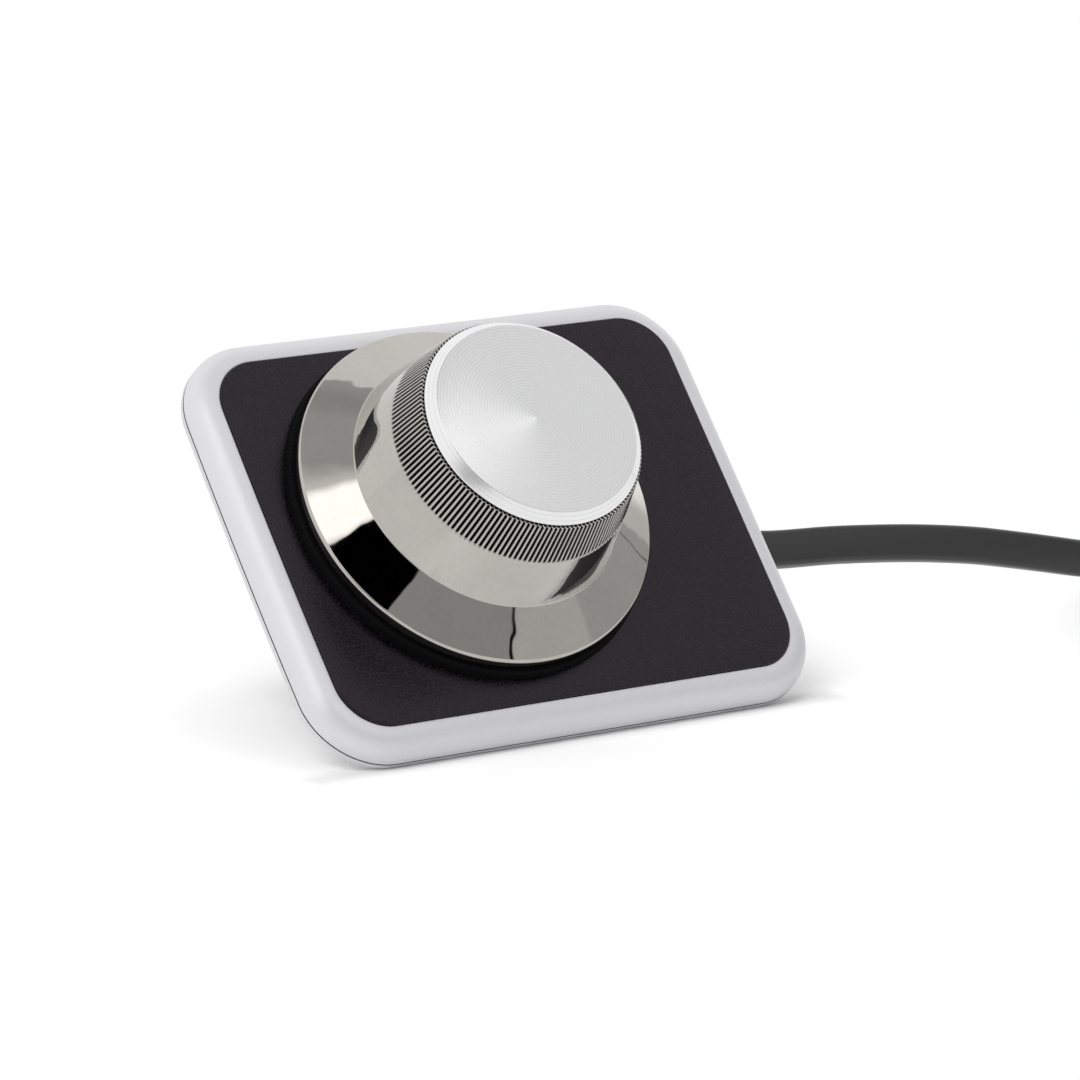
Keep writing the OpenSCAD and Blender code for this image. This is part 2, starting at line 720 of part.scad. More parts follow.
// Bright knob: skirt, flange, cone with its ridges, and a hub inside
module knob_shell() {
  groove_w = groove_share * 2 * PI * grip_r / knurls;
  groove_out = knurl_depth / 3;
  inner_lip_r = skirt_r - lip_taper - skirt_wall;
  roof_z = flange_z + roof_wall;
  color("silver") at_knob() difference() {
    rotate_extrude() polygon([
      [inner_lip_r, lip_z], [skirt_r - lip_taper, lip_z], [skirt_r, edge_z], [flange_r, flange_z],
      [top_r, knob_z - ridge_round], [top_r - ridge_round, knob_z],
      [recess_r, knob_z], [recess_r, cap_seat_z],
      [spigot_r + seat_gap, cap_seat_z], [spigot_r + seat_gap, cap_seat_z - spigot_h],
      [0, cap_seat_z - spigot_h],
      [0, hub_top], [hub_r + seat_gap, hub_top], [hub_r + seat_gap, hub_n],
      [boss_r, hub_n], [boss_r, roof_z], [flange_r - flange_wall, roof_z],
      [flange_r - flange_wall, flange_z - flange_wall], [inner_lip_r, edge_z - lip_h / 3]
    ]);
    for (i = [0:knurls - 1]) rotate(i * 360 / knurls)
      translate([grip_r, 0, grip_z]) rotate([0, -cone_lean, 0]) linear_extrude(grip_h + 2 * past)
        polygon([[-knurl_depth, 0], [groove_out, -groove_w / 2], [groove_out, groove_w / 2]]);
  }
}

// Spun metal cap set into the top of the knob
module knob_cap() {
  spigot_z = cap_seat_z - spigot_h + spigot_gap;
  color("whitesmoke") at_knob() rotate_extrude() polygon([
    [0, spigot_z], [spigot_r, spigot_z], [spigot_r, cap_seat_z],
    [cap_neck_r, cap_seat_z], [cap_neck_r, cap_low_z], [cap_r, cap_low_z], [cap_r, cap_rim_z],
    [cap_flat_r, cap_top_z], [0, cap_top_z]
  ]);
}

// Round bar with a flat from flat_n up, at x = flat
module flatted_bar(r, flat, from_n, to_n) {
  difference() {
    translate([0, 0, from_n]) cylinder(r = r, h = to_n - from_n);
    translate([flat, -2 * r, flat_n]) cube([2 * r, 4 * r, to_n - flat_n + past]);
  }
}

// Brass insert that grips the flatted shaft
module hub_insert() {
  color("goldenrod") at_knob() difference() {
    translate([0, 0, hub_n]) cylinder(r = hub_r, h = hub_top - hub_n - seat_gap);
    flatted_bar(shaft_r + seat_gap, flat_x + spring_t + seat_gap, hub_n - past, shaft_top + seat_gap);
  }
}

// Leaf spring between the flat of the shaft and the insert
module hub_spring() {
  half_w = sqrt(shaft_r ^ 2 - (flat_x + spring_t) ^ 2);
  color("gray") at_knob() translate([flat_x, -half_w, flat_n + spring_inset])
    cube([spring_t, 2 * half_w, shaft_top - flat_n - 2 * spring_inset]);
}

// Shaft with a flat at the knob and a groove for its clip
module pot_shaft() {
  color("lightgray") at_knob() difference() {
    flatted_bar(shaft_r, flat_x, shaft_end, shaft_top);
    translate([0, 0, clip_n]) difference() {
      cylinder(r = shaft_r + past, h = clip_t);
      translate([0, 0, -past]) cylinder(r = groove_r, h = clip_t + 2 * past);
    }
  }
}

// Open clip that keeps the shaft in its bush
module shaft_clip() {
  clip_mouth = 1.6 * groove_r;
  color("dimgray") at_knob() translate([0, 0, clip_n + seat_gap]) difference() {
    cylinder(r = clip_r, h = clip_t - 2 * seat_gap);
    translate([0, 0, -past]) cylinder(r = groove_r + seat_gap, h = clip_t + 2 * past);
    translate([0, -clip_mouth / 2, -past]) cube([2 * clip_r, clip_mouth, clip_t + 2 * past]);
  }
}

// Rotor with a lug that meets the can's stop, and the wiper on its face
module pot_rotor() {
  color("ivory") at_knob() translate([0, 0, rotor_n - rotor_t]) difference() {
    union() {
      cylinder(r = rotor_r, h = rotor_t);
      rotate(90) sector(rotor_r - past, can_r - can_wall - inner_gap, stop_half, rotor_t);
    }
    translate([0, 0, -past]) cylinder(r = shaft_r + seat_gap, h = rotor_t + 2 * past);
  }
}
module pot_wiper() {
  color("gold") at_knob() translate([0, 0, rotor_n]) difference() {
    union() {
      cylinder(r = shaft_r + wiper_ring, h = wiper_t);
      translate([-wiper_w / 2, 0, 0]) cube([wiper_w, track_r + track_w / 2, wiper_t]);
    }
    translate([0, 0, -past]) cylinder(r = shaft_r + inner_gap, h = wiper_t + 2 * past);
  }
}

// Modular plug with its nose at x = 0, its cord leaving at x = plug_l, contacts below and latch above
module plug_body() {
  latch_t = latch_rise / 2;
  latch_end = plug_l - 3 * latch_t;
  difference() {
    translate([0, -plug_w / 2, -plug_h / 2]) cube([plug_l, plug_w, plug_h]);
    for (v = contact_row) translate([-past, v - slot_w / 2, -plug_h / 2 - past])
      cube([past + wire_reach + past, slot_w, past + blade_h + blade_lift]);
  }
  translate([0, latch_w / 2, plug_h / 2]) rotate([90, 0, 0]) linear_extrude(latch_w) polygon([
    [latch_t, -seat_gap], [3 * latch_t, -seat_gap],
    [latch_end, latch_rise - latch_t], [latch_end, latch_rise], [2 * latch_t, latch_t], [latch_t, latch_t / 2]
  ]);
}
module plug_blades() {
  for (v = contact_row) translate([blade_in, v - blade_t / 2, -plug_h / 2 + blade_lift])
    cube([blade_l, blade_t, blade_h]);
}
module in_jack() {
  stand() translate([plug_u, jack_v, plug_n]) children();
}
module at_far_end() {
  translate([coil_x + tail_run + plug_l, lead_y, far_plug_z]) rotate([90, 0, 180]) children();
}
module jack_plug() {
  color("#d8dde0") in_jack() plug_body();
}
module jack_plug_blades() {
  color("gold") in_jack() plug_blades();
}
module far_plug() {
  color("#d8dde0") at_far_end() plug_body();
}
module far_plug_blades() {
  color("gold") at_far_end() plug_blades();
}

// Tube of flat cord through rings of points, closed at both ends
module ring_tube(rings) {
  sides = len(rings[0]);
  last = len(rings) - 1;
  polyhedron(
    points = [for (ring = rings) each ring],
    faces = concat(
      [for (i = [0:last - 1], k = [0:sides - 1])
        [i * sides + k, i * sides + (k + 1) % sides, (i + 1) * sides + k]],
      [for (i = [0:last - 1], k = [0:sides - 1])
        [i * sides + (k + 1) % sides, (i + 1) * sides + (k + 1) % sides, (i + 1) * sides + k]],
      [for (k = [1:sides - 2]) [0, k + 1, k]],
      [for (k = [1:sides - 2]) [last * sides, last * sides + k, last * sides + k + 1]]
    )
  );
}
// Section of the cord, width then thickness, with 8 sides on a stretch and 6 in the coil
edge_cut = cord_t / 4;
stretch_section = [
  for (a = [1, -1]) each [
    [a * cord_w / 2, -a * edge_cut], [a * cord_w / 2, a * edge_cut],
    [a * (cord_w / 2 - edge_cut), a * cord_t / 2], [-a * (cord_w / 2 - edge_cut), a * cord_t / 2]
  ]
];
coil_section = [
  for (a = [1, -1]) each [
    [a * cord_w / 2, 0], [a * (cord_w / 2 - edge_cut), a * cord_t / 2],
    [-a * (cord_w / 2 - edge_cut), a * cord_t / 2]
  ]
];
// Rings along a route that keeps to one upright plane, the cord's width turning from one lean to another
function along(route, i) =
  let (a = route[max(i - 1, 0)], b = route[min(i + 1, len(route) - 1)]) (b - a) / norm(b - a);
function stretch_rings(route, lean0, lean1) = [
  for (i = [0:len(route) - 1])
    let (
      ahead = along(route, i),
      share = i / (len(route) - 1),
      turn = lean0 + (lean1 - lean0) * share,
      up = [-ahead[2], 0, ahead[0]],
      side = [0, 1, 0],
      wide = cos(turn) * up + sin(turn) * side,
      thin = -sin(turn) * up + cos(turn) * side
    )
    [for (s = stretch_section) route[i] + s[0] * wide + s[1] * thin]
];
module cord_lead() {
  color("#1a1a1a") ring_tube(stretch_rings(lead_route, lean, 0));
}
module cord_tail() {
  color("#1a1a1a") ring_tube(stretch_rings(tail_route, 0, 0));
}

// Coil: in along the first layer and out along the next, with half a turn between layers to climb
// past the last loop and half a turn to step back over it
loop_rings = 20;
turns = layers * loops;
function layer_of(s) = min(floor(s / loops), layers - 1);
function into_layer(s) = s - layer_of(s) * loops;
function past_loop(t) = t <= 0.5 ? t : t <= 1 ? 0.5 - 3 * (t - 0.5) : -t;
function loop_index(s) =
  let (k = layer_of(s), t = into_layer(s))
  k == 0 ? t : k % 2 == 1 ? loops + past_loop(t) : -past_loop(t);
function coil_radius(s) = coil_r - coil_step * loop_index(s);
function climb(x) = x <= 0 ? 0 : x >= 1 ? 1 : x * x * (3 - 2 * x);
function coil_height(s) =
  let (k = layer_of(s))
  low_layer + layer_step * (k == 0 ? 0 : k - 1 + climb(2 * into_layer(s)));
function coil_ring(s) =
  let (a = 90 - 360 * s, r = coil_radius(s), out = [cos(a), sin(a), 0])
  [for (p = coil_section) [coil_x, coil_y, coil_height(s) + p[0]] + (r + p[1]) * out];
function shifted(ring, dx) = [for (p = ring) p + [dx, 0, 0]];
coil_rings = concat(
  [shifted(coil_ring(0), -straight)],
  [for (i = [0:turns * loop_rings]) coil_ring(i / loop_rings)],
  [shifted(coil_ring(turns), straight)]
);
module cord_coil() {
  color("#1a1a1a") ring_tube(coil_rings);
}
// Least gap of the coil to itself, between turns that lie at the same angle
chord = cos(180 / loop_rings);
function turn_gap(s, t) = max(
  abs(coil_radius(s) - coil_radius(t)) * chord - cord_t,
  abs(coil_height(s) - coil_height(t)) - cord_w
);
least_gap = min([
  for (i = [0:loop_rings - 1], k = [0:turns - 2], m = [k + 1:turns - 1])
    turn_gap(k + i / loop_rings, m + i / loop_rings)
]);
route_length = function(route) let (steps = [for (i = [1:len(route) - 1]) norm(route[i] - route[i - 1])])
  steps * [for (s = steps) 1];
coil_length = route_length([
  for (i = [0:turns * loop_rings])
    let (s = i / loop_rings, a = 90 - 360 * s, r = coil_radius(s)) [r * cos(a), r * sin(a), coil_height(s)]
]) + 2 * straight;
cord_length = route_length(lead_route) + coil_length + route_length(tail_route);
echo(least_gap = least_gap, cord_length = cord_length, slope = slope);
echo(cord_start = cord_start, mid_y = mid_y, low_z = low_z);

// Two straps that hold the coil together
module cord_ties() {
  tie_gap = 0.3;
  least_r = (coil_radius(loops + 0.5) - cord_t / 2) * chord;
  in_r = sqrt(least_r ^ 2 - (tie_w / 2) ^ 2) - tie_gap;
  out_r = coil_r + coil_step / 2 + cord_t / 2 + tie_gap;
  top = high_layer + cord_w / 2 + tie_gap;
  color("#2a2a2a") translate([coil_x, coil_y, 0]) for (a = [-150, -30]) rotate(a) difference() {
    translate([in_r - tie_t, -tie_w / 2, 0]) cube([out_r - in_r + 2 * tie_t, tie_w, top + tie_t]);
    translate([in_r, -tie_w / 2 - past, tie_t]) cube([out_r - in_r, tie_w + 2 * past, top - tie_t]);
  }
}

face_frame();
face_panel();
seat_ring();
back_plate();
plate_screws();
rear_housing();
rear_cover();
housing_screws();
bracket_inserts();
circuit_board();
modular_jack();
jack_contacts();
pot_bushing();
pot_can();
pot_wafer();
pot_track();
pot_terminals();
pot_washer();
pot_nut();
knob_shell();
knob_cap();
hub_insert();
hub_spring();
pot_shaft();
shaft_clip();
pot_rotor();
pot_wiper();
jack_plug();
jack_plug_blades();
cord_lead();
cord_coil();
cord_ties();
cord_tail();
far_plug();
far_plug_blades();
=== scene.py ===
"""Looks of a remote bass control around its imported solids: face plate, knob, housing, cord and studio."""

import logging
import math
from dataclasses import dataclass
from enum import Enum
from typing import Callable, Dict, List, Optional, Sequence, Tuple, Union

import bmesh
import bpy
from mathutils import Matrix, Vector


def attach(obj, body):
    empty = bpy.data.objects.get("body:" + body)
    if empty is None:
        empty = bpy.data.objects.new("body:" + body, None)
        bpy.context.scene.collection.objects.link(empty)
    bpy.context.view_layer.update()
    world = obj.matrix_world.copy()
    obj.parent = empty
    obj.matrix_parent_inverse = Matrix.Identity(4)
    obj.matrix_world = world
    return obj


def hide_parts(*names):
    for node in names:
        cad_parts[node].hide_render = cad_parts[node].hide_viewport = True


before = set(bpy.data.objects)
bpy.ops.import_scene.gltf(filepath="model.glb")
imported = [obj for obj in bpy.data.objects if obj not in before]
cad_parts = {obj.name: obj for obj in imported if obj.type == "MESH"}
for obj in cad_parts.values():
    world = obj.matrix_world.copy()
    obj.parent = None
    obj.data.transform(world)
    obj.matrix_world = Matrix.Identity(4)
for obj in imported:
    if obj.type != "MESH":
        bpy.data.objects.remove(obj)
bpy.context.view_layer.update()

LOG = logging.getLogger("bass_control")
MM = 0.001
WELD = 1e-7  # metres within which two points are one
SOLID_WELD = 1e-6  # the same on a solid's own points

Point = Tuple[float, float]
Place = Tuple[float, float, float]
Colour = Tuple[float, float, float]
Value = Union["Sock", float, int]
Look = Dict[str, object]


def joined(operation: str, swapped: bool = False) -> Callable[["Sock", Value], "Sock"]:
    """Makes a socket's method that adds one Math node on it and a value.

    Args:
        operation: the node's operation.
        swapped: whether the value comes first.

    Returns:
        The method.
    """

    def act(self: "Sock", other: Value) -> "Sock":
        """Adds the node."""
        return self.book.math(operation, *((other, self) if swapped else (self, other)))

    return act


class Sock:
    """An output socket that adds Math nodes when it is used in an expression."""

    __add__ = joined("ADD")
    __radd__ = joined("ADD", True)
    __sub__ = joined("SUBTRACT")
    __rsub__ = joined("SUBTRACT", True)
    __mul__ = joined("MULTIPLY")
    __rmul__ = joined("MULTIPLY", True)
    __truediv__ = joined("DIVIDE")
    __pow__ = joined("POWER")
    least = joined("MINIMUM")
    most = joined("MAXIMUM")

    def __init__(self, book: "NodeBook", link: bpy.types.NodeSocket) -> None:
        """Keeps the socket and the book whose tree it is in."""
        self.book = book
        self.link = link

    def sine(self) -> "Sock":
        """Sine of this, in radians."""
        return self.book.math("SINE", self)

    def size(self) -> "Sock":
        """This without its sign."""
        return self.book.math("ABSOLUTE", self)

    def ease(self, low: float, high: float) -> "Sock":
        """Smooth step from 0 at low to 1 at high, which may be the smaller one.

        Args:
            low: value where the step is 0.
            high: value where the step is 1.

        Returns:
            The step, from 0 to 1.
        """
        if low > high:
            return 1 - self.ease(high, low)
        inputs = {"Value": self, "From Min": low, "From Max": high, "To Min": 0.0, "To Max": 1.0}
        return self.book.sock("ShaderNodeMapRange", {"interpolation_type": "SMOOTHSTEP"}, inputs)


class NodeBook:
    """One node tree, written node by node."""

    def __init__(self, tree: bpy.types.NodeTree) -> None:
        """Empties the tree."""
        self.tree = tree
        tree.nodes.clear()

    def node(
        self, kind: str, settings: Optional[dict] = None, inputs: Optional[dict] = None
    ) -> bpy.types.Node:
        """Adds a node.

        Args:
            kind: the node's type.
            settings: its properties, set first.
            inputs: socket names or numbers, with values or links.

        Returns:
            The new node.
        """
        made = self.tree.nodes.new(kind)
        for key, value in (settings or {}).items():
            setattr(made, key, value)
        for key, value in (inputs or {}).items():
            if isinstance(value, Sock):
                self.tree.links.new(value.link, made.inputs[key])
            elif isinstance(value, tuple) and made.inputs[key].type == "RGBA" and len(value) == 3:
                made.inputs[key].default_value = (*value, 1.0)
            else:
                made.inputs[key].default_value = value
        return made

    def sock(
        self, kind: str, settings: Optional[dict] = None, inputs: Optional[dict] = None,
        out: Union[int, str] = 0,
    ) -> Sock:
        """Adds a node and wraps one of its outputs."""
        return Sock(self, self.node(kind, settings, inputs).outputs[out])

    def math(self, operation: str, *values: Value) -> Sock:
        """Adds a Math node on one or two values."""
        return self.sock("ShaderNodeMath", {"operation": operation}, dict(enumerate(values)))

    def blend(self, share: Value, first: Union[Sock, Colour], second: Union[Sock, Colour]) -> Sock:
        """Mixes two colours by a share."""
        return self.sock("ShaderNodeMix", {"data_type": "RGBA"}, {0: share, 6: first, 7: second}, 2)

    def mix(self, share: Sock, first: Sock, second: Sock) -> Sock:
        """Mixes two shaders by a share."""
        return self.sock("ShaderNodeMixShader", {}, {0: share, 1: first, 2: second})

    def ray(self, kind: str) -> Sock:
        """1 on the rays of a kind and 0 on others."""
        return self.sock("ShaderNodeLightPath", out=f"Is {kind} Ray")

    def along(self, place: Sock, axis: Place) -> Sock:
        """Part of a vector along an axis."""
        return self.sock("ShaderNodeVectorMath", {"operation": "DOT_PRODUCT"}, {0: place, 1: axis}, "Value")

    def place(self) -> Sock:
        """The piece's own coordinates, in metres."""
        return self.sock("ShaderNodeTexCoord", out="Object")

    def noise(
        self, scale: float, detail: float = 2.0, place: Optional[Sock] = None, rough: float = 0.5
    ) -> Sock:
        """Noise on the piece's own coordinates.

        Args:
            scale: lumps to a metre.
            detail: octaves.
            place: coordinates, or none for the piece's own.
            rough: share that each finer octave keeps.

        Returns:
            The noise, from 0 to 1.
        """
        inputs = {"Vector": place or self.place(), "Scale": scale, "Detail": detail, "Roughness": rough}
        return self.sock("ShaderNodeTexNoise", {}, inputs, "Fac")

    def cells(self, scale: float, feature: str = "F1") -> Sock:
        """Distance in a cell pattern on the piece's own coordinates."""
        inputs = {"Vector": self.place(), "Scale": scale}
        return self.sock("ShaderNodeTexVoronoi", {"feature": feature}, inputs, "Distance")

    def bump(self, height: Sock, depth_mm: float, before: Optional[Sock] = None) -> Sock:
        """Bump of a height from 0 to 1 that stands for a depth.

        Args:
            height: the height.
            depth_mm: what a height of 1 stands for.
            before: a bump that this one is laid over.

        Returns:
            The normal.
        """
        inputs = {"Strength": 1.0, "Distance": depth_mm * MM, "Height": height}
        if before is not None:
            inputs["Normal"] = before
        return self.sock("ShaderNodeBump", {}, inputs)


def shade(colour: Colour, share: float) -> Colour:
    """A colour made darker or paler by a share."""
    return tuple(share * c for c in colour)


class Finish:
    """A surface finish that can be made into a material."""

    title = "finish"

    def inputs(self, book: NodeBook) -> Look:
        """Inputs of the surface shader; each finish gives its own.

        Args:
            book: the tree.

        Returns:
            The inputs.
        """
        raise NotImplementedError

    def make(self) -> bpy.types.Material:
        """Makes the material, once for each title.

        Returns:
            The material.
        """
        known = bpy.data.materials.get(self.title)
        if known is not None:
            return known
        material = bpy.data.materials.new(self.title)
        material.use_nodes = True
        book = NodeBook(material.node_tree)
        shader = book.sock("ShaderNodeBsdfPrincipled", {}, self.inputs(book))
        book.node("ShaderNodeOutputMaterial", {}, {"Surface": shader})
        return material


@dataclass(frozen=True)
class SatinSilver(Finish):
    """Silver paint of the frame, with a fine sparkle, an even sheen and painted shade in the gap above the
    back plate.
    """

    tone: Colour = (0.73, 0.728, 0.754)
    # near-black painted shade of the gap between frame and back plate, the depth of that gap and the half
    # widths of its band
    seam_shade: Colour = (0.03, 0.03, 0.033)
    seam_n: float = -3.55
    seam_half: float = 0.09
    seam_fade: float = 0.14
    title: str = "satin_silver_paint"

    def inputs(self, book: NodeBook) -> Look:
        """Silver with a grain of metal flakes, and painted shade in the gap above the back plate.

        Args:
            book: the tree.

        Returns:
            The inputs.
        """
        flakes = book.noise(9000.0, 1.0)
        cloud = book.noise(160.0, 3.0)
        tone = book.blend(flakes.ease(0.3, 0.7) * 0.8 + cloud * 0.2, shade(self.tone, 0.92), self.tone)
        depth = STAND.turned(book)[2]
        # painted shade: near-black in a band round the gap's depth, on the frame and on the back plate's top
        # edge
        seam_shade_share = (depth - self.seam_n * MM).size().ease(self.seam_fade * MM, self.seam_half * MM)
        return {
            "Base Color": book.blend(seam_shade_share, tone, self.seam_shade), "Metallic": 0.32,
            "Roughness": 0.33 + 0.08 * cloud + 0.06 * flakes, "Normal": book.bump(flakes, 0.004),
        }


@dataclass(frozen=True)
class GrainedPanel(Finish):
    """Dark panel with a fine leather grain and a few pale specks."""

    tone: Colour = (0.0010, 0.0005, 0.0010)
    crest: Colour = (0.014, 0.0092, 0.0138)
    sheen: Colour = (0.95, 0.84, 1.0)
    speck: Colour = (0.11, 0.085, 0.07)
    title: str = "dark_grained_panel"

    def inputs(self, book: NodeBook) -> Look:
        """Charcoal with a pebbled bump.

        Args:
            book: the tree.

        Returns:
            The inputs.
        """
        pebble = book.cells(3600.0, "SMOOTH_F1")
        wander = book.noise(2600.0, 4.0)
        dust = book.cells(420.0).ease(0.055, 0.03) * book.noise(240.0, 1.0).ease(0.55, 0.68)
        grain = book.noise(5200.0, 2.0).ease(0.42, 0.70)
        worn = book.blend(grain, self.tone, self.crest)
        return {
            "Base Color": book.blend(dust * 0.6, worn, self.speck),
            "Roughness": 0.18 + 0.16 * wander,
            "Specular IOR Level": 0.37,
            "Specular Tint": self.sheen,
            "Normal": book.bump(pebble * 0.9 + wander * 0.6 + grain * 0.5, 0.014),
        }


@dataclass(frozen=True)
class ChromePlate(Finish):
    """Bright warm plating with faint rub marks, and painted shade in the grip's grooves and under the cap's
    rim.
    """

    grip_r: float
    grip_z: float
    grip_top: float
    grip_lean: float
    groove_mm: float
    tone: Colour = (0.485, 0.465, 0.435)
    # colour of the painted shade in the grip's grooves and under the cap's rim
    groove: Colour = (0.01, 0.01, 0.01)
    title: str = "bright_chrome_plate"

    def inputs(self, book: NodeBook) -> Look:
        """Mirror with small smears in its gloss, and painted shade in the grip's grooves.

        Args:
            book: the tree.

        Returns:
            The inputs.
        """
        smear = book.noise(260.0, 5.0, rough=0.6)
        x, y, z = STAND.turned(book)
        crest = self.grip_r * MM - (z - self.grip_z * MM) * self.grip_lean
        depth = (crest - (x * x + y * y) ** 0.5) / (self.groove_mm * MM)
        # painted shade: near-black down each groove and in a band just under the cap's rim, where the grip
        # lies in shadow
        cut = depth.ease(0.06, 0.42) * z.ease(self.grip_z * MM, (self.grip_z + 0.3) * MM)
        cut = cut * z.ease((self.grip_top + 0.1) * MM, self.grip_top * MM)
        cut = cut.most(z.ease((self.grip_top + 0.17) * MM, (self.grip_top + 0.22) * MM))
        haze = smear.ease(0.35, 0.75) * 0.5 + book.noise(1500.0, 5.0, rough=0.7).ease(0.4, 0.7) * 0.5
        bright = book.blend(haze, self.tone, shade(self.tone, 0.91))
        return {
            "Base Color": book.blend(cut, bright, self.groove), "Metallic": 1.0,
            "Roughness": 0.03 + 0.03 * smear.ease(0.5, 0.8) + 0.3 * cut,
            "Normal": book.bump(book.noise(240.0, 1.0), 0.042),
        }


@dataclass(frozen=True)
class SpunMetal(Finish):
    """Turned cap: fine rings round the knob's axis."""

    tone: Colour = (0.86, 0.86, 0.865)
    pitch_mm: float = 0.4
    title: str = "spun_metal_cap"

    def inputs(self, book: NodeBook) -> Look:
        """Pale metal whose rings spread the light along the radius.

        Args:
            book: the tree.

        Returns:
            The inputs.
        """
        x, y, _ = STAND.turned(book)
        radius = (x * x + y * y) ** 0.5
        rings = 1 - book.math("FRACT", radius / (self.pitch_mm * MM))
        band = book.sock("ShaderNodeCombineXYZ", {}, {"X": radius})
        scratch = book.noise(5000.0, 3.0, band, 0.7)
        line = rings.ease(0.35, 0.05) * 0.28 + scratch * 0.35
        tone = book.blend(line, self.tone, shade(self.tone, 0.84))
        return {
            "Base Color": tone, "Metallic": 1.0, "Roughness": 0.22 + 0.06 * scratch,
            "Normal": book.bump(scratch, 0.005, book.bump(rings, 0.036)),
        }


@dataclass(frozen=True)
class RibbedRubber(Finish):
    """Black ring with fine upright ribs."""

    tone: Colour = (0.0022, 0.0022, 0.0024)
    ribs: int = 240
    title: str = "black_ribbed_rubber"

    def inputs(self, book: NodeBook) -> Look:
        """Dull black with ribs by the angle round the axis.

        Args:
            book: the tree.

        Returns:
            The inputs.
        """
        x, y, _ = STAND.turned(book)
        angle = book.math("ARCTAN2", y, x)
        rib = (angle * float(self.ribs)).sine() * 0.5 + 0.5
        dust = book.noise(1500.0, 3.0)
        return {
            "Base Color": book.blend(dust * 0.6 + rib * 0.3, self.tone, shade(self.tone, 2.2)),
            "Roughness": 0.62 + 0.15 * dust, "Specular IOR Level": 0.07, "Normal": book.bump(rib, 0.03),
        }


@dataclass(frozen=True)
class MouldedPlastic(Finish):
    """Moulded plastic with a fine spark texture."""

    tone: Colour = (0.018, 0.018, 0.02)
    rough: float = 0.52
    grain: float = 3200.0
    depth_mm: float = 0.02
    title: str = "black_moulded_plastic"

    def inputs(self, book: NodeBook) -> Look:
        """Even colour with cloudy gloss and a spark bump.

        Args:
            book: the tree.

        Returns:
            The inputs.
        """
        spark = book.noise(self.grain, 2.0)
        cloud = book.noise(self.grain / 20.0, 3.0)
        pale = tuple(min(1.0, 1.35 * c + 0.004) for c in self.tone)
        return {
            "Base Color": book.blend(cloud * 0.5 + spark * 0.3, self.tone, pale),
            "Roughness": (self.rough - 0.06) + 0.12 * cloud, "Normal": book.bump(spark, self.depth_mm),
        }


class Plating(Enum):
    """Metals of the small parts: title, colour and roughness."""

    STEEL = ("plated_steel", (0.62, 0.62, 0.60), 0.28)
    DARK = ("blackened_steel", (0.16, 0.16, 0.17), 0.38)
    BRASS = ("turned_brass", (0.72, 0.52, 0.22), 0.26)
    GOLD = ("gold_plate", (0.86, 0.65, 0.27), 0.18)


@dataclass(frozen=True)
class PlatedMetal(Finish):
    """Plated or turned metal of a small part."""

    plating: Plating = Plating.STEEL

    @property
    def title(self) -> str:
        """The plating's title."""
        return self.plating.value[0]

    def inputs(self, book: NodeBook) -> Look:
        """Metal with fine scratches and dull spots.

        Args:
            book: the tree.

        Returns:
            The inputs.
        """
        _, tone, rough = self.plating.value
        scratch = book.noise(2400.0, 4.0, rough=0.65)
        dull = book.noise(380.0, 3.0).ease(0.45, 0.75)
        return {
            "Base Color": book.blend(dull * 0.5 + scratch * 0.2, tone, shade(tone, 0.72)),
            "Metallic": 1.0, "Roughness": rough + 0.14 * dull, "Normal": book.bump(scratch, 0.006),
        }


@dataclass(frozen=True)
class SolderMask(Finish):
    """Green board with the shadow of its tracks."""

    tone: Colour = (0.012, 0.12, 0.045)
    title: str = "green_solder_mask"

    def inputs(self, book: NodeBook) -> Look:
        """Green with darker and lighter tracks under the mask.

        Args:
            book: the tree.

        Returns:
            The inputs.
        """
        tracks = book.cells(320.0, "DISTANCE_TO_EDGE").ease(0.10, 0.14)
        weave = book.noise(2600.0, 2.0)
        return {
            "Base Color": book.blend(tracks * 0.8, shade(self.tone, 1.7), self.tone),
            "Roughness": 0.28 + 0.1 * weave, "Normal": book.bump(tracks, 0.03),
        }


@dataclass(frozen=True)
class CordJacket(Finish):
    """Black jacket of the flat cord."""

    tone: Colour = (0.012, 0.012, 0.0125)
    title: str = "black_cord_jacket"

    def inputs(self, book: NodeBook) -> Look:
        """Satin black with faint drawing lines.

        Args:
            book: the tree.

        Returns:
            The inputs.
        """
        cloud = book.noise(300.0, 3.0)
        fine = book.noise(2500.0, 2.0)
        return {
            "Base Color": book.blend(cloud * 0.6, self.tone, shade(self.tone, 1.6)),
            "Roughness": 0.30 + 0.12 * cloud, "Specular IOR Level": 0.6, "Normal": book.bump(fine, 0.012),
        }


@dataclass(frozen=True)
class ClearPlastic(Finish):
    """Clear moulding of the plugs."""

    tone: Colour = (0.86, 0.89, 0.91)
    title: str = "clear_plug_plastic"

    def inputs(self, book: NodeBook) -> Look:
        """Clear, with flow marks in its gloss.

        Args:
            book: the tree.

        Returns:
            The inputs.
        """
        flow = book.noise(420.0, 3.0)
        return {
            "Base Color": book.blend(flow * 0.5, self.tone, shade(self.tone, 0.92)),
            "Roughness": 0.10 + 0.10 * flow, "Transmission Weight": 0.55, "IOR": 1.49,
            "Normal": book.bump(flow, 0.01),
        }


@dataclass(frozen=True)
class StrapWeave(Finish):
    """Woven strap round the coil."""

    tone: Colour = (0.02, 0.02, 0.022)
    title: str = "black_strap_weave"

    def inputs(self, book: NodeBook) -> Look:
        """Loops of a soft strap.

        Args:
            book: the tree.

        Returns:
            The inputs.
        """
        loops = book.cells(1500.0)
        fuzz = book.noise(5000.0, 2.0)
        return {
            "Base Color": book.blend(loops * 0.8, shade(self.tone, 2.0), self.tone),
            "Roughness": 0.8 + 0.1 * fuzz, "Specular IOR Level": 0.25,
            "Normal": book.bump(loops + fuzz * 0.5, 0.12),
        }


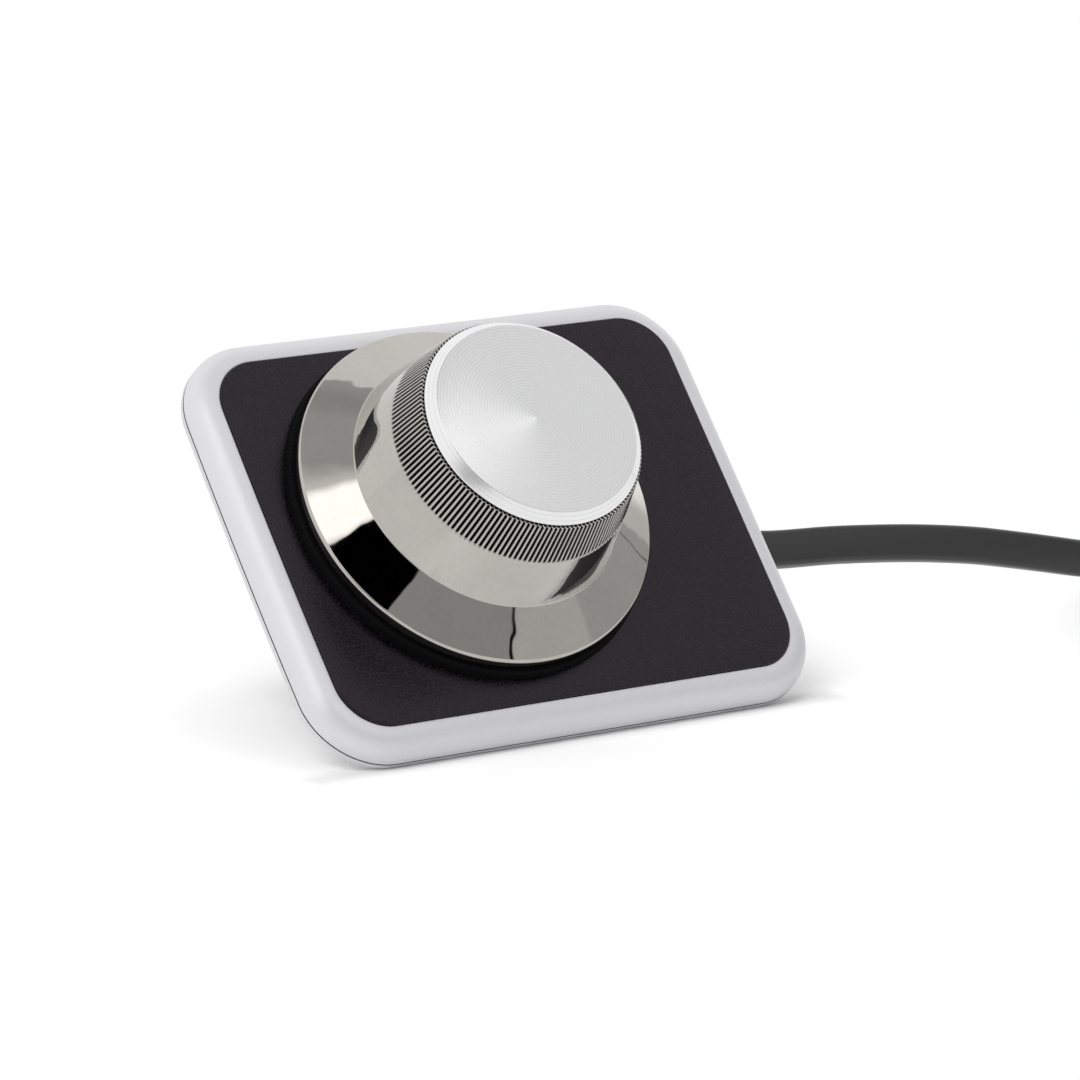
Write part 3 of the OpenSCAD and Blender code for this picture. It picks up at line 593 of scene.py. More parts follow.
def stepped(points: Sequence[Tuple[float, float, float]], steps: int = 5) -> List[Point]:
    """Rounds the corners of an open outline.

    Args:
        points: (x, y, radius) of each corner.
        steps: points on each rounded corner.

    Returns:
        The outline's points.
    """
    out: List[Point] = []
    for i, (x, y, r) in enumerate(points):
        if r <= 0 or i in (0, len(points) - 1):
            out.append((x, y))
            continue
        here = Vector((x, y))
        back = (Vector(points[i - 1][:2]) - here).normalized()
        ahead = (Vector(points[i + 1][:2]) - here).normalized()
        half = back.angle(ahead) / 2
        reach = r / math.tan(half)
        centre = here + (back + ahead).normalized() * (r / math.sin(half))
        first, last = here + back * reach - centre, here + ahead * reach - centre
        sweep = first.angle_signed(last)
        for k in range(steps + 1):
            turn = -sweep * k / steps
            spun = Vector((
                first.x * math.cos(turn) - first.y * math.sin(turn),
                first.x * math.sin(turn) + first.y * math.cos(turn),
            ))
            out.append(tuple(centre + spun))
    return out


def arc(x: float, y: float, radius: float, start: float, end: float, steps: int) -> List[Point]:
    """Points round a middle, from one angle to another in degrees."""
    angles = [math.radians(start + (end - start) * k / steps) for k in range(steps + 1)]
    return [(x + radius * math.cos(a), y + radius * math.sin(a)) for a in angles]


def rounded(half_w: float, half_h: float, radius: float, steps: int) -> List[Point]:
    """Corners of a rounded rectangle.

    Args:
        half_w: half its width.
        half_h: half its height.
        radius: radius of its corners.
        steps: steps on each corner.

    Returns:
        The corners' points, anticlockwise from the right.
    """
    out: List[Point] = []
    for i, (x, y) in enumerate(((1, 1), (-1, 1), (-1, -1), (1, -1))):
        out += arc(x * (half_w - radius), y * (half_h - radius), radius, 90 * i, 90 * i + 90, steps)
    return out


@dataclass
class Shape:
    """Points and faces of a piece, in millimetres of its own axes."""

    points: List[Place]
    faces: List[Tuple[int, ...]]

    @classmethod
    def rows(cls, rows: Sequence[Sequence[Place]], ends: bool = False) -> "Shape":
        """Skin over rows of points, each row a closed loop.

        Args:
            rows: loops with the same number of points.
            ends: whether the first and last loops are closed with a face.

        Returns:
            The skin.
        """
        count = len(rows[0])
        faces: List[Tuple[int, ...]] = []
        for i in range(len(rows) - 1):
            for k in range(count):
                m = (k + 1) % count
                faces.append((i * count + k, i * count + m, (i + 1) * count + m, (i + 1) * count + k))
        if ends:
            faces.append(tuple(reversed(range(count))))
            faces.append(tuple((len(rows) - 1) * count + k for k in range(count)))
        return cls([p for row in rows for p in row], faces)

    def __add__(self, other: "Shape") -> "Shape":
        """Both shapes as one."""
        faces = [tuple(i + len(self.points) for i in face) for face in other.faces]
        return Shape(self.points + other.points, self.faces + faces)

    def moved(self, change: Callable[[Place], Place]) -> "Shape":
        """The same faces on changed points."""
        return Shape([change(p) for p in self.points], self.faces)


def lathe(
    profile: Sequence[Point], segments: int, dip: Optional[Callable[[int, int], float]] = None
) -> Shape:
    """Turns a profile round the Z axis.

    Args:
        profile: (radius, height) from the bottom up.
        segments: steps of a full turn.
        dip: how far a point lies inside the profile, by row and step.

    Returns:
        The turned skin.
    """
    rows = []
    for i, (radius, height) in enumerate(profile):
        row = []
        for k in range(segments):
            r = radius - (dip(i, k) if dip else 0.0)
            a = 2 * math.pi * k / segments
            row.append((r * math.cos(a), r * math.sin(a), height))
        rows.append(row)
    return Shape.rows(rows)


@dataclass(frozen=True)
class Stand:
    """Pose in which the control stands: plate axes to the frame's axes."""

    slope_deg: float = 48.9065
    mid_y: float = 2.30051
    low_z: float = -24.3453
    knob_u: float = -5.6
    knob_v: float = 1.5

    def plate(self) -> Matrix:
        """Plate axes, zero at the middle of the panel's front."""
        move = Matrix.Translation((0.0, -self.mid_y * MM, -self.low_z * MM))
        return move @ Matrix.Rotation(math.radians(self.slope_deg), 4, "X")

    def knob(self) -> Matrix:
        """Knob axes, zero on the panel's front under the knob."""
        return self.plate() @ Matrix.Translation((self.knob_u * MM, self.knob_v * MM, 0.0))

    def turned(self, book: NodeBook) -> Tuple[Sock, Sock, Sock]:
        """Coordinates in the knob's axes, in metres.

        Args:
            book: the tree that they are read in.

        Returns:
            Across and up the plate, and out of it.
        """
        axes, place = self.knob(), book.place()
        ways = [axes.col[i].to_3d() for i in range(3)]
        return tuple(book.along(place, tuple(way)) - way.dot(axes.translation) for way in ways)


STAND = Stand()


def piece(
    name: str, shape: Shape, axes: Matrix, finish: Finish, body: str, nodes: Sequence[str],
    sharp_deg: float = 32.0,
) -> bpy.types.Object:
    """Makes an object of a shape and puts it on a body.

    Args:
        name: the piece's name.
        shape: its points in millimetres.
        axes: its own axes in the frame.
        finish: its finish.
        body: the body that it rides on.
        nodes: solids that it stands for.
        sharp_deg: angle from which an edge is sharp.

    Returns:
        The object.
    """
    mesh = bpy.data.meshes.new(name)
    mesh.from_pydata([tuple(axes @ (Vector(p) * MM)) for p in shape.points], [], shape.faces)
    tidy = bmesh.new()
    tidy.from_mesh(mesh)
    bmesh.ops.remove_doubles(tidy, verts=tidy.verts, dist=WELD)
    bmesh.ops.recalc_face_normals(tidy, faces=tidy.faces)
    tidy.to_mesh(mesh)
    tidy.free()
    mesh.shade_smooth()
    mesh.set_sharp_from_angle(angle=math.radians(sharp_deg))
    mesh.materials.append(finish.make())
    made = bpy.data.objects.new(name, mesh)
    bpy.context.scene.collection.objects.link(made)
    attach(made, body)
    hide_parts(*nodes)
    LOG.info("piece %s: %d faces", name, len(mesh.polygons))
    return made


def dress(finish: Finish, *nodes: str) -> None:
    """Gives solids a finish.

    Args:
        finish: the finish.
        nodes: the solids' names.
    """
    for node in nodes:
        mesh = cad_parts[node].data
        mesh.materials.clear()
        mesh.materials.append(finish.make())
        LOG.info("solid %s: %s", node, finish.title)


@dataclass
class FacePlate:
    """Silver frame, dark panel and back plate."""

    panel_w: float = 64.5
    panel_h: float = 50.0
    corner: float = 6.0
    least_corner: float = 0.02
    proud: float = 0.3
    panel_t: float = 1.3
    land: float = 0.3
    rim_round: float = 3.15
    seat_gap: float = 0.05
    edge_cut: float = 0.1
    edge_mid: float = 0.03
    frame_in: float = 6.0
    panel_edge: float = 0.22
    panel_shares: Tuple[float, ...] = (0.15, 0.4, 0.7, 1.0)
    hole_r: float = 8.0
    bow: float = 0.4
    bow_from: float = 18.0
    bow_over: float = 14.0
    longest: float = 7.0
    splits: int = 3
    rim_steps: int = 16
    edge_steps: int = 5
    corner_steps: int = 20
    side_steps: int = 16

    def outline(self, reach: float) -> List[Point]:
        """Rounded outline at a distance outside the panel's edge.

        Args:
            reach: distance outside the panel.

        Returns:
            The points, anticlockwise, the same number for every reach.
        """
        radius = max(self.least_corner, self.corner + reach)
        corners = rounded(self.panel_w / 2 + reach, self.panel_h / 2 + reach, radius, self.corner_steps)
        count = self.corner_steps + 1
        out: List[Point] = []
        for i in range(4):
            out += corners[i * count:(i + 1) * count]
            here, there = out[-1], corners[(i + 1) * count % len(corners)]
            for k in range(1, self.side_steps):
                s = k / self.side_steps
                out.append((here[0] + (there[0] - here[0]) * s, here[1] + (there[1] - here[1]) * s))
        return out

    def bowed(self, point: Place) -> Place:
        """Moves a point in with the slight bow of the left side, whose middle stays.

        Args:
            point: a point in the plate's axes.

        Returns:
            The moved point.
        """
        u, v, n = point
        weight = min(1.0, max(0.0, (-u - self.bow_from) / self.bow_over))
        weight = weight * weight * (3 - 2 * weight)
        span = min(1.0, abs(v) / (self.panel_h / 2 + self.land + self.rim_round))
        return u + self.bow * weight * span * span, v, n

    def rings(self, profile: Sequence[Point]) -> List[List[Place]]:
        """Outlines at each (reach, height) of a profile."""
        return [[(x, y, n) for x, y in self.outline(reach)] for reach, n in profile]

    def build(self) -> None:
        """Makes the frame, the panel and the back plate."""
        top = -self.proud
        low = top - self.rim_round
        inner, cut, mid = self.seat_gap, self.edge_cut, self.edge_mid
        profile: List[Point] = [(inner, -self.panel_t), (inner, top - cut)]
        profile += [(inner + mid, top - mid), (inner + cut, top)]
        profile += arc(self.land, low, self.rim_round, 90, 0, self.rim_steps)
        profile += [(-self.frame_in, low), (-self.frame_in, -self.panel_t), profile[0]]
        silver = SatinSilver()
        shape = Shape.rows(self.rings(profile)).moved(self.bowed)
        piece("silver_frame", shape, STAND.plate(), silver, "base", ["face_frame"])

        edge = self.panel_edge
        rows = self.rings([(0.0, -self.panel_t), *arc(-edge, -edge, edge, 0, 90, self.edge_steps)])
        rim = rows[-1]
        hole = []
        for x, y, _ in rim:
            away = Vector((x - STAND.knob_u, y - STAND.knob_v)).normalized() * self.hole_r
            hole.append((STAND.knob_u + away.x, STAND.knob_v + away.y))
        for s in self.panel_shares:
            rows.append([(x + (h[0] - x) * s, y + (h[1] - y) * s, 0.0) for (x, y, _), h in zip(rim, hole)])
        rows += [[(h[0], h[1], -self.panel_t) for h in hole], rows[0]]
        shape = Shape.rows(rows).moved(self.bowed)
        piece("grained_panel", shape, STAND.plate(), GrainedPanel(), "base", ["face_panel"])
        self.back(silver)

    def back(self, silver: Finish) -> None:
        """Copies the back plate's solid, with the same bow as the frame.

        Args:
            silver: the frame's finish.
        """
        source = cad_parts["back_plate"].data
        inside = STAND.plate().inverted()
        form = bmesh.new()
        form.from_mesh(source)
        form.transform(inside)
        bmesh.ops.remove_doubles(form, verts=form.verts, dist=SOLID_WELD)
        for _ in range(self.splits):
            long_ones = [e for e in form.edges if e.calc_length() > self.longest * MM]
            bmesh.ops.subdivide_edges(form, edges=long_ones, cuts=1)
            bmesh.ops.triangulate(form, faces=[f for f in form.faces if len(f.verts) > 3])
        form.verts.index_update()
        points = [tuple(c / MM for c in v.co) for v in form.verts]
        faces = [tuple(v.index for v in f.verts) for f in form.faces]
        form.free()
        shape = Shape(points, faces).moved(self.bowed)
        piece("silver_back", shape, STAND.plate(), silver, "base", ["back_plate"], 28.0)


@dataclass
class Knob:
    """Plated knob with its ridged grip, spun cap and the ring under its skirt.

    Sizes are in millimetres. A profile holds (radius, height) pairs, cap_foot with a corner radius, and
    ridge_rows the height above the grip's foot with the share of the ridges' depth.
    """

    lip_in: float = 21.45
    lip_seat: float = 2.8
    lip_r: float = 22.85
    lip_z: float = 1.67
    skirt_r: float = 23.0
    edge_z: float = 3.36
    edge_round: float = 0.55
    flange_r: float = 17.28
    flange_z: float = 6.64
    grip_r: float = 15.62
    grip_z: float = 13.6
    top_r: float = 14.23
    top_z: float = 19.45
    top_round: float = 0.25
    top_steps: int = 4
    recess_r: float = 13.63
    recess_z: float = 18.05
    socket: Tuple[Point, ...] = ((4.05, 18.05), (4.05, 16.25), (0.0, 16.25))
    hollow: Tuple[Point, ...] = (
        (0.0, 15.05), (5.05, 15.05), (5.05, 3.3), (7.0, 3.3), (7.0, 9.04), (15.48, 9.04), (15.48, 4.84),
    )
    slit: float = 0.001
    ridges: int = 152
    ridge_steps: int = 8
    ridge_depth: float = 0.3
    ridge_rows: Tuple[Point, ...] = (
        (0.0, 0.0), (0.08, 0.35), (0.2, 0.75), (0.4, 1.0), (2.6, 1.0), (5.0, 1.0), (5.5, 1.0),
    )
    cap_foot: Tuple[Place, ...] = (
        (0.0, 16.45, 0), (4.0, 16.45, 0), (4.0, 18.1, 0), (13.5, 18.1, 0), (13.5, 19.58, 0),
    )
    cap_r: float = 13.9
    cap_low: float = 19.58
    cap_rim: float = 19.78
    cap_chamfer: float = 1.08
    cap_rings: Tuple[float, ...] = (9.0, 4.0, 0.0)
    ring_r: float = 23.5
    ring_w: float = 3.0
    ring_t: float = 1.4
    ring_lean: float = 0.2
    segments: int = 256

    @property
    def lean(self) -> float:
        """How far the grip leans in for each millimetre up."""
        return (self.grip_r - self.top_r) / (self.top_z - self.grip_z)

    def shell(self) -> Shape:
        """Skirt, flange and cone, with the hollow inside; a slit keeps the grip's shading apart.

        Returns:
            The closed shell.
        """
        outer = stepped([
            (self.lip_in, self.lip_seat, 0), (self.lip_in, self.lip_z, 0.2), (self.lip_r, self.lip_z, 0.3),
            (self.skirt_r, self.edge_z, self.edge_round), (self.flange_r, self.flange_z, 0.3),
            (self.grip_r, self.grip_z, 0),
        ], 8)
        outer[-1] = (self.grip_r - self.slit, self.grip_z)
        core = self.recess_r - self.slit
        outer += [(core, self.grip_z), (core, self.recess_z), *self.socket]
        turns = 2 * self.ridges
        return lathe(outer, turns) + lathe([*self.hollow, outer[0]], turns)

    def grip(self) -> Shape:
        """Ridges cut into the upper cone.

        Returns:
            The closed ring of ridges.
        """
        rows: List[Place] = []
        for rise, share in self.ridge_rows:
            rows.append((self.grip_r - self.lean * rise, self.grip_z + rise, share))
        edge = self.top_round
        top = arc(self.top_r - edge, self.top_z - edge, edge, 0, 90, self.top_steps)
        rows += [(r, z, 1.0) for r, z in top[1:]]
        rows += [(self.recess_r, self.top_z, 0.0), (self.recess_r, self.grip_z, 0.0), rows[0]]
        count = self.ridges * self.ridge_steps

        def dip(row: int, step: int) -> float:
            """Depth of a groove with a round crest and a sharp foot."""
            phase = math.pi * (step % self.ridge_steps) / self.ridge_steps
            return self.ridge_depth * rows[row][2] * (1 - abs(math.cos(phase)))

        return lathe([(r, z) for r, z, _ in rows], count, dip)

    def cap(self) -> Shape:
        """Spun cap with a chamfer and a rim.

        Returns:
            The closed cap.
        """
        flat_r, flat_z = self.cap_r - self.cap_chamfer, self.cap_rim + self.cap_chamfer
        return lathe(stepped([
            *self.cap_foot, (self.cap_r, self.cap_low, 0.05), (self.cap_r, self.cap_rim, 0.12),
            (flat_r, flat_z, 0.15), *((r, flat_z, 0) for r in self.cap_rings),
        ], 4), self.segments)

    def ring(self) -> Shape:
        """Black ring under the skirt.

        Returns:
            The closed ring.
        """
        inner = self.ring_r - self.ring_w
        top = self.ring_r - self.ring_lean
        return lathe(stepped([
            (inner, 0.0, 0), (self.ring_r, 0.0, 0.05), (top, self.ring_t, 0.25), (inner, self.ring_t, 0),
            (inner, 0.0, 0),
        ], 4), self.segments)

    def build(self) -> None:
        """Makes the knob's pieces."""
        axes = STAND.knob()
        grip_top = self.top_z - self.top_round
        plate = ChromePlate(self.grip_r, self.grip_z, grip_top, self.lean, self.ridge_depth)
        whole = self.shell() + self.grip()
        piece("knob_chrome", whole, axes, plate, "knob", ["knob_shell"], 30)
        piece("knob_spun_cap", self.cap(), axes, SpunMetal(), "knob", ["knob_cap"])
        piece("seat_ring_black", self.ring(), axes, RibbedRubber(), "base", ["seat_ring"])


@dataclass
class FlatCord:
    """Flat cord: its lead, its coil with two straps, its tail and its plugs.

    Sizes are in millimetres. A row of lap is a place along the strap, from its inner end or, below zero, its
    outer end, with the rise there. A row of fall or drop is a place along X with the share of the height.
    """

    width: float = 4.8
    thick: float = 2.4
    rounding: float = 0.7
    start: Place = (25.7, 7.45289, 13.8485)
    lean_deg: float = 90 - STAND.slope_deg
    straight: float = 5.0
    coil_x: float = 120.0
    coil_r: float = 37.9
    loops: int = 7
    layers: int = 4
    loop_gap: float = 0.5
    strap_t: float = 1.0
    strap_w: float = 12.0
    strap_gap: float = 0.3
    strap_bend: float = 1.2
    strap_trim: float = 0.3
    strap_steps: int = 5
    strap_angles: Point = (-150.0, -30.0)
    lap: Tuple[Point, ...] = ((8.0, 0.2), (8.6, 0.55), (-14.6, 0.55), (-14.0, 0.2))
    lap_side: float = 0.6
    lap_sink: float = 0.05
    solid_steps: int = 20
    tail_run: float = 46.0
    plug_side: float = 9.65
    turn_steps: int = 48
    length_m: float = 5.0
    fall: Tuple[Point, ...] = (
        (38.0, 0.96), (46.0, 0.86), (55.0, 0.81), (63.0, 0.74), (70.0, 0.66), (78.0, 0.54), (85.0, 0.40),
        (91.0, 0.27), (97.0, 0.14), (103.0, 0.05),
    )
    drop: Tuple[Point, ...] = ((14.0, 0.93), (19.0, 0.74), (24.0, 0.50), (29.0, 0.26), (34.0, 0.08))

    @property
    def low(self) -> float:
        """Height of the lowest layer's middle."""
        return self.strap_t + self.width / 2

    @property
    def high(self) -> float:
        """Height of the highest layer's middle."""
        return self.low + (self.layers - 1) * (self.width + self.loop_gap)

    def lead(self) -> List[Place]:
        """Route from the socket to the coil.

        Returns:
            The route's points.
        """
        x, y, z = self.start
        out = [self.start, (x + self.straight, y, z)]
        out += [(at, y, self.low + share * (z - self.low)) for at, share in self.fall]
        return out + [(self.coil_x - k * self.straight, y, self.low) for k in (2, 1)]

    def tail(self) -> List[Place]:
        """Route from the coil to the far plug.

        Returns:
            The route's points.
        """
        end = self.plug_side / 2
        y = self.start[1]
        out = [(self.coil_x + k * self.straight, y, self.high) for k in (1, 2)]
        out += [(self.coil_x + run, y, end + share * (self.high - end)) for run, share in self.drop]
        last = self.coil_x + self.tail_run
        return out + [(last - self.straight, y, end), (last, y, end)]

    def smooth(self, route: Sequence[Place], parts: int = 4) -> List[Place]:
        """Rounds a route with a curve through its points.

        Args:
            route: the points.
            parts: steps between two points.

        Returns:
            The curve's points.
        """
        out: List[Place] = []
        last = len(route) - 1
        for i in range(last):
            a, b, c, d = (Vector(route[min(max(k, 0), last)]) for k in (i - 1, i, i + 1, i + 2))
            for k in range(parts):
                t = k / parts
                out.append(tuple(0.5 * (
                    2 * b + (c - a) * t + (2 * a - 5 * b + 4 * c - d) * t ** 2
                    + (3 * b - a - 3 * c + d) * t ** 3
                )))
        return out + [route[-1]]

    def layer(self, turn: float) -> Tuple[int, float]:
        """Layer that a turn is in, and the turns since the layer began."""
        number = min(int(turn // self.loops), self.layers - 1)
        return number, turn - number * self.loops

    def radius(self, turn: float) -> float:
        """Radius of the coil's middle line.

        Args:
            turn: turns since the coil began.

        Returns:
            The radius.
        """
        number, t = self.layer(turn)
        past = t if t <= 0.5 else 0.5 - 3 * (t - 0.5) if t <= 1 else -t
        inward = t if number == 0 else self.loops + past if number % 2 else -past
        return self.coil_r - (self.thick + self.loop_gap) * inward

    def height(self, turn: float) -> float:
        """Height of the coil's middle line.

        Args:
            turn: turns since the coil began.

        Returns:
            The height.
        """
        number, t = self.layer(turn)
        share = min(1.0, 2 * t)
        rise = number - 1 + share * share * (3 - 2 * share) if number else 0.0
        return self.low + (self.width + self.loop_gap) * rise

    def coil(self) -> List[Place]:
        """Route of the coil, in and out by turns, one layer on another.

        Returns:
            The route's points.
        """
        centre_y = self.start[1] - self.coil_r
        out = []
        for i in range(self.layers * self.loops * self.turn_steps + 1):
            turn = i / self.turn_steps
            a = math.radians(90 - 360 * turn)
            r = self.radius(turn)
            out.append((self.coil_x + r * math.cos(a), centre_y + r * math.sin(a), self.height(turn)))
        return out

    def section(self) -> List[Point]:
        """Section of the cord, across its width and its thickness."""
        return rounded(self.width / 2, self.thick / 2, self.rounding, 3)

    def tube(self, route: Sequence[Place], leans: Sequence[float]) -> Shape:
        """Skin of the cord along a route.

        Args:
            route: points of the middle line.
            leans: lean of the cord's width from upright at each point, in degrees.

        Returns:
            The skin, closed at both ends.
        """
        rows = []
        for i, here in enumerate(route):
            ahead = Vector(route[min(i + 1, len(route) - 1)]) - Vector(route[max(i - 1, 0)])
            ahead.normalize()
            side = Vector((0, 0, 1)).cross(ahead).normalized()
            up = ahead.cross(side)
            lean = math.radians(leans[i])
            wide = up * math.cos(lean) + side * math.sin(lean)
            thin = side * math.cos(lean) - up * math.sin(lean)
            rows.append([tuple(Vector(here) + wide * s + thin * t) for s, t in self.section()])
        return Shape.rows(rows, ends=True)

    def strap(self, angle_deg: float) -> Shape:
        """One strap round the coil's turns, with its lapped end.

        Args:
            angle_deg: its place round the coil.

        Returns:
            The strap.
        """
        chord = math.cos(math.pi / self.solid_steps)
        least = (self.radius(self.loops + 0.5) - self.thick / 2) * chord
        t, half = self.strap_t, self.strap_w / 2
        x0 = math.sqrt(least ** 2 - half ** 2) - self.strap_gap - t / 2
        x1 = self.coil_r + self.loop_gap / 2 + self.thick + self.strap_gap + t / 2
        z1 = self.high + self.width / 2 + self.strap_gap + t / 2
        mid_x, mid_z = (x0 + x1) / 2, (t / 2 + z1) / 2
        wide, tall, flat = mid_x - x0, z1 - mid_z, half - self.strap_trim
        rows = []
        for y, share in ((-half, -0.5), (-half, 0.3), (-flat, 0.5), (flat, 0.5), (half, 0.3), (half, -0.5)):
            out = t * share
            loop = rounded(wide + out, tall + out, self.strap_bend + out, self.strap_steps)
            rows.append([(mid_x + x, y, mid_z + z) for x, z in loop])
        band = Shape.rows(rows + rows[:1])
        lap = []
        side, face = half - self.lap_side, z1 + t / 2
        foot = face - self.lap_sink
        for at, rise in self.lap:
            x, top = at + (x0 if at > 0 else x1), face + rise
            lap.append([(x, -side, foot), (x, -side, top), (x, side, top), (x, side, foot)])
        whole = band + Shape.rows(lap, ends=True)
        a = math.radians(angle_deg)
        centre_y = self.start[1] - self.coil_r
        return whole.moved(lambda p: (
            self.coil_x + p[0] * math.cos(a) - p[1] * math.sin(a),
            centre_y + p[0] * math.sin(a) + p[1] * math.cos(a), p[2],
        ))

    def build(self) -> None:
        """Makes the cord and its straps, and dresses its plugs."""
        lead, coil, tail = self.smooth(self.lead()), self.coil(), self.smooth(self.tail())
        route = lead + coil + tail
        leans = [self.lean_deg * (1 - i / (len(lead) - 1)) for i in range(len(lead))]
        leans += [0.0] * (len(route) - len(lead))
        solids = ["cord_lead", "cord_coil", "cord_tail"]
        skin = self.tube(route, leans)
        flat = piece("flat_cord", skin, Matrix(), CordJacket(), "base", solids)
        straps = self.strap(self.strap_angles[0]) + self.strap(self.strap_angles[1])
        bands = piece("coil_straps", straps, Matrix(), StrapWeave(), "base", ["cord_ties"])
        for made in (flat, bands):  # the metal mirrors the tent alone
            made.visible_glossy = False
        dress(ClearPlastic(), "jack_plug", "far_plug")
        dress(PlatedMetal(Plating.GOLD), "jack_plug_blades", "far_plug_blades")


@dataclass
class RearBox:
    """Housing behind the plate, with its board, socket and screws."""

    def dress(self) -> None:
        """Gives the housing's solids their finishes."""
        dress(MouldedPlastic(), "rear_housing", "rear_cover")
        socket = MouldedPlastic(tone=(0.012, 0.012, 0.013), rough=0.35, title="black_socket_plastic")
        dress(socket, "modular_jack")
        dress(PlatedMetal(Plating.DARK), "plate_screws", "housing_screws")
        dress(PlatedMetal(Plating.BRASS), "bracket_inserts")
        dress(PlatedMetal(Plating.GOLD), "jack_contacts")
        dress(SolderMask(), "circuit_board")


@dataclass
class Potentiometer:
    """Potentiometer behind the knob, and the knob's hub."""

    def dress(self) -> None:
        """Gives the potentiometer's solids their finishes."""
        dress(PlatedMetal(Plating.STEEL), "pot_bushing", "pot_can", "pot_washer", "pot_nut", "pot_shaft")
        dress(PlatedMetal(Plating.STEEL), "pot_terminals", "hub_spring")
        dress(PlatedMetal(Plating.DARK), "shaft_clip")
        dress(PlatedMetal(Plating.BRASS), "hub_insert")
        dress(PlatedMetal(Plating.GOLD), "pot_wiper")
        dress(MouldedPlastic(tone=(0.24, 0.12, 0.05), rough=0.5, title="brown_laminate"), "pot_wafer")
        dress(MouldedPlastic(tone=(0.015, 0.015, 0.016), rough=0.6, title="carbon_track"), "pot_track")
        dress(MouldedPlastic(tone=(0.72, 0.70, 0.64), rough=0.42, title="white_nylon"), "pot_rotor")


@dataclass(frozen=True)
class Card:
    """A card of the light tent, seen in the metal: a soft-edged patch of the sky."""

    azimuth: float
    elevation: float
    half_wide: float
    half_tall: float
    light: float
    soft: float = 1.0
    roll: float = 0.0
    least: float = 0.02
    fade: float = 0.05

    def axes(self) -> Tuple[Vector, Vector, Vector]:
        """Works out how the card stands.

        Returns:
            The directions to the card, across it and up it.
        """
        a, e, r = (math.radians(x) for x in (self.azimuth, self.elevation, self.roll))
        out = Vector((math.cos(e) * math.sin(a), -math.cos(e) * math.cos(a), math.sin(e)))
        across = Vector((math.cos(a), math.sin(a), 0.0))
        up = out.cross(across)
        return out, across * math.cos(r) + up * math.sin(r), up * math.cos(r) - across * math.sin(r)

    def mask(self, book: NodeBook, sight: Sock) -> Sock:
        """Share of the card in a direction of sight.

        Args:
            book: the sky's tree.
            sight: the direction.

        Returns:
            The share, from 0 to 1.
        """
        out, across, up = self.axes()
        ahead = book.along(sight, tuple(out))
        depth = ahead.most(self.least)
        wide = (book.along(sight, tuple(across)) / depth).size()
        tall = (book.along(sight, tuple(up)) / depth).size()
        w, h = math.tan(math.radians(self.half_wide)), math.tan(math.radians(self.half_tall))
        s = math.tan(math.radians(self.soft)) / 2
        return wide.ease(w + s, w - s) * tall.ease(h + s, h - s) * ahead.ease(0.0, self.fade)


